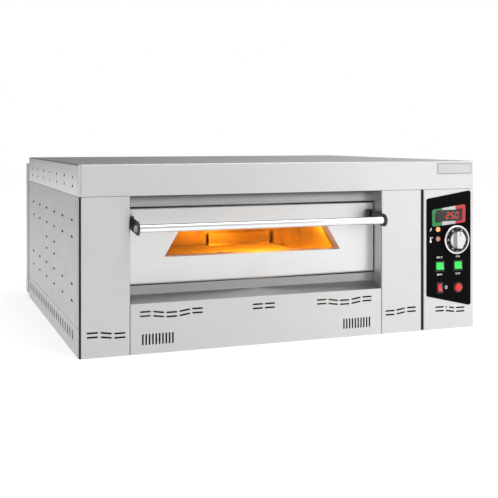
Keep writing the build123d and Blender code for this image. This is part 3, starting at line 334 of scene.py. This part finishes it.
casingSteel = brushedSteel("casingSteel", casingLook)
# The insides of the folded fronts and of the casing's hollow are painted dark as shade.
leftPost = brushedSteel("leftPost", {**casingLook, "inside": openBack("front_pillar_left")})
rightPost = brushedSteel("rightPost", {**casingLook, "inside": openBack("front_pillar_right")})
boxSteel = brushedSteel("boxSteel", {**casingLook, "inside": openBack("control_box_front")})
coverSteel = brushedSteel("coverSteel", {**casingLook, "inside": hollow})
topSteel = brushedSteel("topSteel", {**casingLook, "inside": hollow, "rough": 0.33, "spread": 0.0})
# Painted shade on the header band under the top's overhang: the whole band is darkened, most at the top.
headerLow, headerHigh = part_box("recess_header")
headerShade = {"axis": 2, "start": headerLow.z + 8 * mm, "end": headerHigh.z,
               "least": 0.22, "most": 0.90, "curl": 1.3}
headerShadedSteel = brushedSteel("headerShadedSteel", {**casingLook, "recessShade": headerShade})
panelLow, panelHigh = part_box("lower_front_panel")
stepShare = 0.7507  # where the step's foot lies on the panel's height
# Painted shade on the step, darker further back into the recess. Below the step's foot its hollow back is
# painted dark as shade.
stepShade = {"axis": 1, "start": panelLow.y + 1.5 * mm, "end": panelLow.y + 3 * mm,
             "least": 0.0, "most": 0.38, "curl": 1.0}
stepShadedSteel = brushedSteel("stepShadedSteel", {**casingLook, "recessShade": stepShade,
                                       "inside": openBack("lower_front_panel", panelHigh.z * stepShare)})
# Painted light: the door skin and the window frame are the casing steel made lighter, as if more brightly lit.
# The frame is also rougher.
doorLitSteel = brushedSteel("doorLitSteel", {**casingLook, "colour": (0.84, 0.84, 0.835)})
frameLitSteel = brushedSteel("frameLitSteel", {**casingLook, "colour": (0.84, 0.84, 0.84), "rough": 0.62,
                                         "spread": 0.0})
badgeSteel = brushedSteel("badgeSteel", {**casingLook, "colour": (0.52, 0.52, 0.52), "rough": 0.36})
knobSilver = brushedSteel("knobSilver", {**casingLook, "colour": (0.62, 0.62, 0.62), "rough": 0.26,
                                         "fine": 5200.0, "along": 60.0, "tone": 0.08})
chamberSteel = heatedSteel("chamberSteel", {**casingLook, "colour": (0.62, 0.55, 0.43), "rough": 0.30,
                                            "straw": (0.52, 0.40, 0.24), "soot": (0.12, 0.09, 0.07)})
rearSteel = heatedSteel("rearSteel", {**casingLook, "colour": (0.50, 0.42, 0.31), "rough": 0.34,
                                      "straw": (0.40, 0.29, 0.17), "soot": (0.07, 0.05, 0.04)})
zincSteel = spangledZinc("zincSteel", (0.52, 0.54, 0.55), hollow)
springSteel = spangledZinc("springSteel", (0.50, 0.50, 0.51))
chromePlate = polishedMetal("chromePlate", (0.86, 0.86, 0.87), 0.05)
blackPlastic = plainPlastic("blackPlastic", (0.020, 0.020, 0.021), 0.42)
greyPlastic = plainPlastic("greyPlastic", (0.42, 0.42, 0.43), 0.42)
brassMetal = polishedMetal("brassMetal", (0.78, 0.60, 0.30), 0.22)
labelGloss = plainPlastic("labelGloss", (0.0035, 0.0035, 0.0040), 0.40, 0.004, gloss=0.04)
greenLens = plainPlastic("greenLens", (0.01, 0.55, 0.06), 0.25, 0.004, 0.3, (0.01, 0.85, 0.07), 0.85)
redLens = plainPlastic("redLens", (0.66, 0.014, 0.014), 0.22, 0.004, 0.4, (0.85, 0.010, 0.012), 0.35)
darkWindow = plainPlastic("darkWindow", (0.010, 0.003, 0.003), 0.16, 0.002, 0.3)
whiteCeramic = plainPlastic("whiteCeramic", (0.82, 0.80, 0.76), 0.5)
boardGreen = plainPlastic("boardGreen", (0.03, 0.16, 0.07), 0.5)
siliconeBlack = plainPlastic("siliconeBlack", (0.02, 0.02, 0.02), 0.6)
woolBlanket = plainPlastic("woolBlanket", (0.10, 0.095, 0.08), 0.95, 0.2)
castAlloy = plainPlastic("castAlloy", (0.30, 0.30, 0.31), 0.5)
paneGlass = clearPane("paneGlass", (0.10, 0.06, 0.03), 0.04, 0.03)
deckStone = fireStone("deckStone")
lampSplit = sum(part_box("indicator_lamps")[end].z for end in (0, 1)) / 2
orangeLens = pilotLens("orangeLens", lampSplit)
# Painted light: the white print glows of its own though it is no lamp.
litWhiteInk = plainPlastic("litWhiteInk", (0.84, 0.84, 0.84), 0.5, 0.004, 0.0, (0.8, 0.8, 0.8), 0.45)
digitGlow = plainPlastic("digitGlow", (0.55, 0.03, 0.015), 0.4, 0.004, 0.0, (0.85, 0.05, 0.02), 0.9)
bulbGlow = plainPlastic("bulbGlow", (1.0, 0.8, 0.5), 0.3, 0.004, 0.0, (1.0, 0.50, 0.12), 3.5)
sealRope = plainPlastic("sealRope", (0.030, 0.028, 0.026), 0.85, 0.3)

slotFinish = {
    "casing_steel": casingSteel, "chamber_steel": chamberSteel, "galvanised_steel": zincSteel,
    "chrome": chromePlate, "black_plastic": blackPlastic, "grey_plastic": greyPlastic,
    "control_label": labelGloss, "dark_window": darkWindow, "oven_glass": paneGlass,
    "orange_lens": orangeLens, "green_lens": greenLens, "red_lens": redLens,
    "silver_knob": knobSilver, "stone": deckStone, "ceramic": whiteCeramic,
    "insulation": woolBlanket, "brass": brassMetal, "gasket": siliconeBlack,
    "cast_valve": castAlloy, "circuit_board": boardGreen, "spring_steel": springSteel}
nodeFinish = {
    "front_pillar_left": leftPost, "front_pillar_right": rightPost, "control_box_front": boxSteel,
    "chamber_rear_wall": rearSteel, "top_cover": topSteel, "side_panel_left": coverSteel,
    "side_panel_right": coverSteel, "base_skirts": coverSteel, "recess_header": headerShadedSteel,
    "lower_front_panel": stepShadedSteel, "door_outer_skin": doorLitSteel, "window_frame": frameLitSteel,
    "rear_cover": coverSteel, "badge_plate": badgeSteel}

for part in frame["record"]["subparts"]:
    mesh = nodes[part["node"]].data
    mesh.materials.clear()
    mesh.materials.append(nodeFinish.get(part["node"], slotFinish[part["material_slot"]]))
print("finishes laid on the frame")


def keepPiece(name, mesh, material, body, smooth=True):
    mesh.materials.clear()
    mesh.materials.append(material)
    mesh.polygons.foreach_set("use_smooth", [smooth] * len(mesh.polygons))
    mesh.update()
    piece = bpy.data.objects.new(name, mesh)
    bpy.context.scene.collection.objects.link(piece)
    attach(piece, body)


# Quads between neighbouring rows and columns of a grid of points; a closed grid joins its ends.
def gridMesh(name, points, closedRows=True, closedColumns=True):
    rows, columns = points.shape[:2]
    row = np.arange(rows if closedRows else rows - 1)
    column = np.arange(columns if closedColumns else columns - 1)
    a, b = np.meshgrid(row, column, indexing="ij")
    nextA, nextB = (a + 1) % rows, (b + 1) % columns
    quads = np.stack([a * columns + b, nextA * columns + b, nextA * columns + nextB, a * columns + nextB], -1)
    mesh = bpy.data.meshes.new(name)
    mesh.from_pydata(points.reshape(-1, 3).tolist(), [], quads.reshape(-1, 4).tolist())
    return mesh


def outwards(mesh):  # joins doubled points and turns every face out
    work = bmesh.new()
    work.from_mesh(mesh)
    bmesh.ops.remove_doubles(work, verts=work.verts, dist=1e-7)
    bmesh.ops.recalc_face_normals(work, faces=work.faces)
    work.to_mesh(mesh)
    work.free()


def joined(name, meshes):
    work = bmesh.new()
    for mesh in meshes:
        work.from_mesh(mesh)
        bpy.data.meshes.remove(mesh)
    made = bpy.data.meshes.new(name)
    work.to_mesh(made)
    work.free()
    return made


# A loop of corners (x, z) with each corner cut to an arc: points at equal turns from one
# straight run to the next, round a centre that lies one radius inside both runs.
def roundedLoop(corners, radius, steps=8):
    corners = np.array(corners, float)
    before = corners - np.roll(corners, 1, 0)
    after = np.roll(corners, -1, 0) - corners
    before /= np.linalg.norm(before, axis=1)[:, None]
    after /= np.linalg.norm(after, axis=1)[:, None]
    turn = np.arctan2(before[:, 0] * after[:, 1] - before[:, 1] * after[:, 0], (before * after).sum(1))
    reach = radius * np.abs(np.tan(turn / 2))
    start = corners - before * reach[:, None]
    side = np.sign(turn)[:, None] * np.stack([-before[:, 1], before[:, 0]], 1)
    centre = start + side * radius
    share = np.linspace(0, 1, steps)[None, :] * turn[:, None]
    arm = start - centre
    x = arm[:, 0:1] * np.cos(share) - arm[:, 1:2] * np.sin(share)
    z = arm[:, 0:1] * np.sin(share) + arm[:, 1:2] * np.cos(share)
    return np.stack([centre[:, 0:1] + x, centre[:, 1:2] + z], -1).reshape(-1, 2)


# A flat frame: the loop and the same loop drawn in by the width, both at two depths.
def flatFrame(name, corners, width, radius, frontY, backY):
    outer = roundedLoop(corners, radius)
    inner = roundedLoop(insetCorners(corners, width), max(radius - width, 0.3 * mm))
    ring = np.stack([np.insert(outer, 1, backY, 1), np.insert(outer, 1, frontY, 1),
                     np.insert(inner, 1, frontY, 1), np.insert(inner, 1, backY, 1)], 1)
    mesh = gridMesh(name, ring)
    outwards(mesh)
    return mesh


# Each side of the loop is moved in by the width, and the corners are where moved sides cross.
def insetCorners(corners, width):
    corners = np.array(corners, float)
    run = np.roll(corners, -1, 0) - corners
    run /= np.linalg.norm(run, axis=1)[:, None]
    area = (corners[:, 0] * np.roll(corners[:, 1], -1) - corners[:, 1] * np.roll(corners[:, 0], -1)).sum()
    inward = np.sign(area) * np.stack([-run[:, 1], run[:, 0]], 1)
    lastRun, lastIn = np.roll(run, 1, 0), np.roll(inward, 1, 0)
    cross = lastRun[:, 0] * run[:, 1] - lastRun[:, 1] * run[:, 0]
    gap = (inward - lastIn) * width
    along = (gap[:, 0] * run[:, 1] - gap[:, 1] * run[:, 0]) / cross
    return corners + lastIn * width + lastRun * along[:, None]


# A flat plate with the loop as its outline, between two depths.
def flatPlate(name, loop, frontY, backY):
    loop = np.array(loop, float)
    count = len(loop)
    points = np.concatenate([np.insert(loop, 1, frontY, 1), np.insert(loop, 1, backY, 1)])
    around = np.arange(count)
    following = (around + 1) % count
    sides = np.stack([around, following, following + count, around + count], 1).tolist()
    mesh = bpy.data.meshes.new(name)
    front, back = list(range(count)), list(range(2 * count - 1, count - 1, -1))
    mesh.from_pydata(points.tolist(), [], [front, back] + sides)
    outwards(mesh)
    return mesh


# Letters stand upright facing front: text x goes to x, and text y goes to z.
lettering = {"capShare": 0.72, "swell": 0.022, "curveSteps": 3}


def uprightText(words, centre, height, depth, frontY, spacing=1.0, turn=0.0):
    curve = bpy.data.curves.new("letters", "FONT")
    curve.body = words
    curve.size = height / lettering["capShare"]
    curve.space_character = spacing
    curve.align_x = "CENTER"
    curve.align_y = "CENTER"
    curve.extrude = depth / 2
    curve.offset = height * lettering["swell"]
    curve.resolution_u = lettering["curveSteps"]
    holder = bpy.data.objects.new("letters", curve)
    mesh = bpy.data.meshes.new_from_object(holder)
    bpy.data.objects.remove(holder)
    stand = Matrix.Rotation(-turn, 4, "Y") @ Matrix.Rotation(math.radians(90), 4, "X")
    mesh.transform(Matrix.Translation((centre[0], frontY + depth / 2, centre[1])) @ stand)
    return mesh


# A tube of rings whose two ends are each drawn to the middle of the last ring, so that it is closed.
def tubeMesh(name, points):
    first = np.broadcast_to(points[0].mean(0), points[0].shape)[None]
    last = np.broadcast_to(points[-1].mean(0), points[-1].shape)[None]
    mesh = gridMesh(name, np.concatenate([first, points, last]), closedRows=False)
    outwards(mesh)
    return mesh


# A seal lies between the door and the chamber front: a flattened rope up one side of the mouth,
# over the top and down the other, and a round rope along the sill. The flattened section is half the
# width times the signed root of the cosine, by half the depth times the signed root of the sine.
seal = {"width": 9 * mm, "squeeze": 0.05 * mm, "sideIn": 8 * mm, "topIn": 7 * mm, "footUp": 1 * mm,
        "radius": 9 * mm, "ropeRadius": 2.4 * mm, "ropeGap": 0.2 * mm, "ropePast": 4 * mm}
frameLow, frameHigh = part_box("chamber_front_frame")
innerLow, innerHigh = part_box("door_inner_skin")
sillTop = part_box("lower_front_panel")[1].z
sealLeft = innerLow.x + seal["sideIn"]
sealRight = innerHigh.x - seal["sideIn"]
sealTop = innerHigh.z - seal["topIn"]
arc = np.linspace(0, math.pi / 2, 8)
bend = seal["radius"]
leftTurn = np.stack([sealLeft + bend - bend * np.cos(arc), sealTop - bend + bend * np.sin(arc)], 1)
rightTurn = np.stack([sealRight - bend + bend * np.sin(arc), sealTop - bend + bend * np.cos(arc)], 1)
sealFoot = sillTop + seal["footUp"]
course = np.concatenate([[[sealLeft, sealFoot]], leftTurn, rightTurn, [[sealRight, sealFoot]]])
tangent = np.gradient(course, axis=0)
tangent /= np.linalg.norm(tangent, axis=1)[:, None]
across = np.stack([-tangent[:, 1], tangent[:, 0]], 1)
lap = np.linspace(0, 2 * math.pi, 16, endpoint=False)
halfWide = seal["width"] / 2 * np.sign(np.cos(lap)) * np.abs(np.cos(lap)) ** 0.5
middleY = (frameLow.y + innerHigh.y) / 2
halfDeep = (frameLow.y - innerHigh.y) / 2 - seal["squeeze"]
deep = halfDeep * np.sign(np.sin(lap)) * np.abs(np.sin(lap)) ** 0.5
flatCourse = course[:, None, :] + across[:, None, :] * halfWide[None, :, None]
sealY = middleY + np.broadcast_to(deep, flatCourse.shape[:2])
sealPoints = np.stack([flatCourse[..., 0], sealY, flatCourse[..., 1]], -1)
keepPiece("mouthSeal", tubeMesh("mouthSeal", sealPoints), sealRope, "oven")
ropeX = np.linspace(sealLeft - seal["ropePast"], sealRight + seal["ropePast"], 40)
ropeRound = seal["ropeRadius"]
ropeY = frameLow.y - ropeRound - seal["ropeGap"]
ropePoints = np.stack(np.broadcast_arrays(
    ropeX[:, None], ropeY + ropeRound * np.cos(lap)[None, :],
    sillTop + ropeRound + ropeRound * np.sin(lap)[None, :]), -1)
keepPiece("sillSeal", tubeMesh("sillSeal", ropePoints), sealRope, "oven")
print("seals made")

# The bulb inside the lamp glass: a pear turned round the lamp's axis, which runs in from the wall. Its
# radius grows as a power of the sine over the first half and falls to the neck over the second.
bulb = {"radius": 13 * mm, "length": 26 * mm, "neck": 6 * mm, "seat": 4 * mm}
lampLow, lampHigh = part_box("lamp_glass")
lampAxis = ((lampLow.y + lampHigh.y) / 2, (lampLow.z + lampHigh.z) / 2)
share = np.linspace(0.0, 1.0, 24)
girth = bulb["radius"] * np.sin(math.pi * np.clip(share, 0, 0.5)) ** 0.6
fall = np.cos((share - 0.5) * math.pi) ** 1.5
girth = np.where(share > 0.5, bulb["neck"] + (bulb["radius"] - bulb["neck"]) * fall, girth)
bulbTurns = np.linspace(0, 2 * math.pi, 28, endpoint=False)
bulbStart = lampLow.x + bulb["seat"]
bulbPoints = np.stack(np.broadcast_arrays(
    (bulbStart + share * bulb["length"])[:, None],
    lampAxis[0] + girth[:, None] * np.cos(bulbTurns)[None, :],
    lampAxis[1] + girth[:, None] * np.sin(bulbTurns)[None, :]), -1)
keepPiece("ovenBulb", tubeMesh("ovenBulb", bulbPoints), bulbGlow, "oven")
print("bulb made")

# The control panel's print lies a hair in front of the label.
panel = {"ink": 0.10 * mm, "surroundWidth": 9.5 * mm, "surroundRadius": 5 * mm, "leftOut": 11.7 * mm,
         "rightOut": 10.7 * mm, "leftFoot": 13.2 * mm, "rightFoot": 4.1 * mm, "rightHead": 13.7 * mm,
         "leftHead": 1.1 * mm, "greenShare": 0.2280, "redShare": 0.7480, "letterHeight": 4.8 * mm,
         "letterSpacing": 1.35, "wordRise": 21.5 * mm, "signOut": 15 * mm, "boltDown": 6 * mm,
         "stemUp": 5 * mm, "lampSignOut": 19 * mm}
labelLow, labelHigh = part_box("control_label")
labelFace = labelLow.y
inkFace = labelFace - panel["ink"]
windowLow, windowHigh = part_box("display_window")
windowWide = windowHigh.x - windowLow.x
surroundLeft, surroundRight = windowLow.x - panel["leftOut"], windowHigh.x + panel["rightOut"]
surroundCorners = [(surroundLeft, windowLow.z - panel["leftFoot"]),
                   (surroundRight, windowLow.z - panel["rightFoot"]),
                   (surroundRight, windowHigh.z + panel["rightHead"]),
                   (surroundLeft, windowHigh.z + panel["leftHead"])]
bandInk = printedBands("bandInk", [(0.01, 0.30, 0.07), (0.75, 0.77, 0.75), (0.72, 0.03, 0.035)],
                       [windowLow.x + windowWide * panel[edge] for edge in ("greenShare", "redShare")])
keepPiece("displaySurround", flatFrame("displaySurround", surroundCorners, panel["surroundWidth"],
                                       panel["surroundRadius"], inkFace - 0.1 * mm, labelFace + 0.05 * mm),
          bandInk, "oven", smooth=False)

# Seven-bar figures: each bar is a six-sided lozenge, and each figure says which bars are lit.
figure = {"width": 8.0 * mm, "height": 14.0 * mm, "bar": 2.1 * mm, "gap": 0.4 * mm, "step": 13.0 * mm,
          "lean": 0.10, "proud": 0.12 * mm, "middleShare": 0.62}
barsOf = {"2": "abged", "5": "afgcd", "0": "abcdef"}


def litBar(centre, length, upright, frontY):
    half, thick = length / 2 - figure["gap"], figure["bar"] / 2
    loop = np.array([(-half, 0), (-half + thick, -thick), (half - thick, -thick), (half, 0),
                     (half - thick, thick), (-half + thick, thick)])
    if upright:
        loop = loop[:, ::-1] * (1, -1)
    loop = loop + centre[0]
    loop[:, 0] += figure["lean"] * (loop[:, 1] - centre[1])
    return flatPlate("bar", loop, frontY, frontY + figure["proud"])


def figureBars(sign, centreX, centreZ, frontY):
    w, h = figure["width"], figure["height"]
    spots = {"a": ((0, h / 2), w, False), "g": ((0, 0), w, False), "d": ((0, -h / 2), w, False),
             "f": ((-w / 2, h / 4), h / 2, True), "b": ((w / 2, h / 4), h / 2, True),
             "e": ((-w / 2, -h / 4), h / 2, True), "c": ((w / 2, -h / 4), h / 2, True)}
    made = []
    for bar in barsOf[sign]:
        (x, z), length, upright = spots[bar]
        made.append(litBar((np.array([centreX + x, centreZ + z]), centreZ), length, upright, frontY))
    return made


figureFace = windowLow.y - figure["proud"]
figuresX = windowLow.x + windowWide * figure["middleShare"]
figuresZ = (windowLow.z + windowHigh.z) / 2
bars = []
for number, sign in enumerate("250"):
    bars += figureBars(sign, figuresX + (number - 1) * figure["step"], figuresZ, figureFace)
keepPiece("displayFigures", joined("displayFigures", bars), digitGlow, "oven", smooth=False)

# Switch words, a lightning sign, a thermometer and a lamp sign.
def middle(node):
    low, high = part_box(node)
    return (low.x + high.x) / 2, (low.z + high.z) / 2


words = []
for name, above, below in (("burner_rocker", "MAX", "MIN"), ("power_rocker", "ON", "OFF")):
    x, z = middle(name)
    for word, side in ((above, 1), (below, -1)):
        words.append(uprightText(word, (x, z + side * panel["wordRise"]), panel["letterHeight"],
                                 panel["ink"], inkFace, panel["letterSpacing"]))
lampsLow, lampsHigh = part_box("indicator_lamps")
signX = lampsLow.x - panel["signOut"]
boltZ = lampsHigh.z - panel["boltDown"]
bolt = np.array([(-3.4, -6.0), (0.6, -0.6), (-2.0, -0.2), (3.6, 6.2), (1.6, 0.9), (4.0, 0.4)]) * mm
words.append(flatPlate("bolt", bolt + (signX, boltZ), inkFace, labelFace))
stemZ = lampsLow.z + panel["stemUp"]
turn = np.linspace(math.radians(-60), math.radians(240), 18)
bulbLoop = np.stack([3.0 * mm * np.cos(turn), -5.0 * mm + 3.0 * mm * np.sin(turn)], 1)
thermometer = np.concatenate([bulbLoop, [(-1.5 * mm, 6.0 * mm), (1.5 * mm, 6.0 * mm)]])
words.append(flatPlate("thermometer", thermometer + (signX, stemZ), inkFace, labelFace))
tickZ = stemZ + 3.5 * mm
for rise in (0.0, 2.4 * mm):
    words.append(flatPlate("tick", np.array([(3.0, -0.5), (6.2, -0.5), (6.2, 0.5), (3.0, 0.5)]) * mm
                           + (signX, tickZ + rise), inkFace, labelFace))
lampX, lampZ = middle("light_rocker")
lampX += panel["lampSignOut"]
ring = np.array([(-4.6, 0.0), (0.0, -5.4), (4.6, 0.0), (0.0, 5.4)]) * mm + (lampX, lampZ)
words.append(flatFrame("lampSign", ring, 1.3 * mm, 0.8 * mm, inkFace, labelFace))
keepPiece("panelWords", joined("panelWords", words), litWhiteInk, "oven", smooth=False)
print("panel print made")

# The temperature knob: a black scale in its ring, with marks round it.
knob = {"ringIn": 21.7 * mm, "ringOut": 29.3 * mm, "bandIn": 29.6 * mm, "bandOut": 32.2 * mm,
        "recess": 0.92 * mm, "marks": 10, "sweep": 300, "perMark": 50, "markIn": 27.2 * mm,
        "markOut": 29.0 * mm, "markWide": 0.9 * mm, "figuresAt": 24.6 * mm, "figureHeight": 2.7 * mm,
        "ink": 0.06 * mm}
skirtLow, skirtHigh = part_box("knob_skirt")
knobX, knobZ = middle("knob_skirt")
scaleFace = skirtLow.y + knob["recess"]
ringTurns = np.linspace(0, 2 * math.pi, 72, endpoint=False)


# A flat ring round the knob's axis: a thin four-cornered section turned through a full circle.
def flatRing(inner, outer, face):
    back = face + knob["ink"]
    section = np.array([(inner, back), (inner, face), (outer, face), (outer, back)])
    points = np.stack(np.broadcast_arrays(
        knobX + section[None, :, 0] * np.cos(ringTurns)[:, None], section[None, :, 1],
        knobZ + section[None, :, 0] * np.sin(ringTurns)[:, None]), -1)
    mesh = gridMesh("ring", points)
    outwards(mesh)
    return mesh


scaleInk = plainPlastic("scaleInk", (0.006, 0.006, 0.007), 0.45, 0.004, gloss=0.2)
scaleRings = [flatRing(knob["ringIn"], knob["ringOut"], scaleFace),
              flatRing(knob["bandIn"], knob["bandOut"], skirtLow.y - 0.03 * mm)]
keepPiece("knobScale", joined("knobScale", scaleRings), scaleInk, "knob", smooth=False)
marks = []
markFace = scaleFace - knob["ink"]
for number in range(knob["marks"] + 1):
    angle = math.radians(number * knob["sweep"] / knob["marks"])  # from the right, clockwise
    out = np.array([math.cos(angle), -math.sin(angle)])
    side = np.array([-out[1], out[0]]) * knob["markWide"] / 2
    near, far = out * knob["markIn"], out * knob["markOut"]
    loop = np.array([near - side, far - side, far + side, near + side])
    marks.append(flatPlate("mark", loop + (knobX, knobZ), markFace, scaleFace + 0.03 * mm))
    if number % 2 == 0:  # every second mark has its figure, turned to stand on the ring
        at = out * knob["figuresAt"] + (knobX, knobZ)
        marks.append(uprightText(str(number * knob["perMark"]), at, knob["figureHeight"], 0.05 * mm, markFace,
                                 turn=math.atan2(out[1], out[0]) - math.pi / 2))
keepPiece("knobMarks", joined("knobMarks", marks), litWhiteInk, "knob", smooth=False)

# A dark line along the front of the grip shows where the knob points.
gripLow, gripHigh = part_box("knob_grip")
pointer = np.array([(-0.7, 9.0), (0.7, 9.0), (0.7, 19.5), (-0.7, 19.5)]) * mm
pointerMesh = flatPlate("knobPointer", pointer + (knobX, knobZ), gripLow.y - 0.08 * mm, gripLow.y + 0.4 * mm)
keepPiece("knobPointer", pointerMesh, blackPlastic, "knob", smooth=False)
print("knob scale made")

# The plate on the top band is blank, with a thin dark border.
badge = {"border": 0.9 * mm, "inset": 1.2 * mm, "radius": 1.5 * mm, "proud": 0.06 * mm}
plateLow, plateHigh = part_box("badge_plate")
inset = badge["inset"]
plateCorners = [(plateLow.x + inset, plateLow.z + inset), (plateHigh.x - inset, plateLow.z + inset),
                (plateHigh.x - inset, plateHigh.z - inset), (plateLow.x + inset, plateHigh.z - inset)]
borderInk = plainPlastic("borderInk", (0.10, 0.10, 0.10), 0.4)
keepPiece("badgeBorder", flatFrame("badgeBorder", plateCorners, badge["border"], badge["radius"],
                                   plateLow.y - badge["proud"], plateLow.y + 0.05 * mm),
          borderInk, "oven", smooth=False)
print("badge border made")

cameraLook = {"place": (-0.8488, -2.3849, 0.475), "turn": -20.65, "lens": 65.86, "rise": -0.2207,
              "sensor": 36, "reach": 50}
camera = bpy.data.objects.new("camera", bpy.data.cameras.new("camera"))
bpy.context.scene.collection.objects.link(camera)
camera.location = cameraLook["place"]
camera.rotation_euler = (math.radians(90), 0, math.radians(cameraLook["turn"]))
camera.data.lens = cameraLook["lens"]
camera.data.sensor_width = cameraLook["sensor"]
camera.data.shift_y = cameraLook["rise"]
camera.data.clip_end = cameraLook["reach"]
bpy.context.scene.camera = camera
bpy.context.scene.view_settings.view_transform = "Standard"

# A white room, with the wall behind the object left dim in what metal shows, so that flat tops
# and sides keep their tone.
studio = {"plain": 0.72, "wallDark": 0.97, "wallEast": 0.45, "southWest": 0.46, "southEast": 1.14,
          "floor": (0.74, 0.74, 0.74), "floorLift": 0.46, "floorReach": 12.0}
world = bpy.data.worlds.new("studio")
bpy.context.scene.world = world
sky = Shader(world)


def rayKind(shader, kind):
    return shader.node("ShaderNodeLightPath", output=kind)


def mirrored(shader):
    return rayKind(shader, "Is Glossy Ray").maths("MAXIMUM", rayKind(shader, "Is Transmission Ray"))


east, north, up = sky.node("ShaderNodeTexCoord", output="Generated").parts()
wall = north.ramp(0.2, 0.8) * (1.0 - up.ramp(0.3, 0.75))
wallDepth = (studio["wallDark"] - east.ramp(0.1, 0.6) * studio["wallEast"]) * east.ramp(-0.75, -0.2)
south = studio["southWest"] + east.ramp(0.05, 0.7) * (studio["southEast"] - studio["southWest"])
front = north.ramp(-0.3, 0.3)
room = (south * (1.0 - front) + front) * (1.0 - wall * wallDepth)
inMetal = mirrored(sky)
inCamera = rayKind(sky, "Is Camera Ray")
strength = (studio["plain"] * (1.0 - inMetal) + room * inMetal) * (1.0 - inCamera) + inCamera
sky.node("ShaderNodeOutputWorld", {}, {"Surface": sky.node("ShaderNodeBackground", {}, {
    "Color": (1, 1, 1), "Strength": strength})})

floorShader = newShader("studioFloor")
seen = rayKind(floorShader, "Is Camera Ray").maths("MAXIMUM", mirrored(floorShader))
diffuse = floorShader.node("ShaderNodeBsdfDiffuse", {}, {"Color": studio["floor"]})
extra = floorShader.node("ShaderNodeEmission", {}, {"Color": (1, 1, 1), "Strength": studio["floorLift"]})
both = floorShader.node("ShaderNodeAddShader", {}, {0: diffuse, 1: extra})
floorShader.node("ShaderNodeOutputMaterial", {}, {"Surface": floorShader.node(
    "ShaderNodeMixShader", {}, {0: seen, 1: diffuse, 2: both})})
floorMesh = bpy.data.meshes.new("studioFloor")
reach = studio["floorReach"]
floorMesh.from_pydata([(-reach, -reach, 0), (reach, -reach, 0), (reach, reach, 0), (-reach, reach, 0)],
                      [], [(0, 1, 2, 3)])
floorMesh.materials.append(floorShader.owner)
floor = bpy.data.objects.new("studioFloor", floorMesh)
bpy.context.scene.collection.objects.link(floor)


def softBox(name, place, aim, size, power):
    lamp = bpy.data.lights.new(name, "AREA")
    lamp.shape = "RECTANGLE"
    lamp.size, lamp.size_y = size
    lamp.energy = power
    holder = bpy.data.objects.new(name, lamp)
    holder.location = place
    holder.rotation_euler = (Vector(aim) - Vector(place)).to_track_quat("-Z", "Y").to_euler()
    bpy.context.scene.collection.objects.link(holder)


softBox("topBox", (0.3, -1.0, 2.6), (0, 0, 0.2), (2.4, 1.6), 22)
softBox("rightBox", (2.1, -2.9, 0.7), (0.3, -0.4, 0.2), (1.6, 1.2), 6)

# The light in the chamber comes from beside the lamp glass, clear of it to the left and to the front.
oven = {"power": 3.6, "colour": (1.0, 0.36, 0.012), "size": 0.06, "clear": 0.11, "lift": 0.01}
glow = bpy.data.lights.new("chamberGlow", "POINT")
glow.energy = oven["power"]
glow.color = oven["colour"]
glow.shadow_soft_size = oven["size"]
glowHolder = bpy.data.objects.new("chamberGlow", glow)
glowHolder.location = (lampLow.x - oven["clear"], lampAxis[0] - oven["clear"], lampAxis[1] + oven["lift"])
bpy.context.scene.collection.objects.link(glowHolder)
print("camera and studio ready")
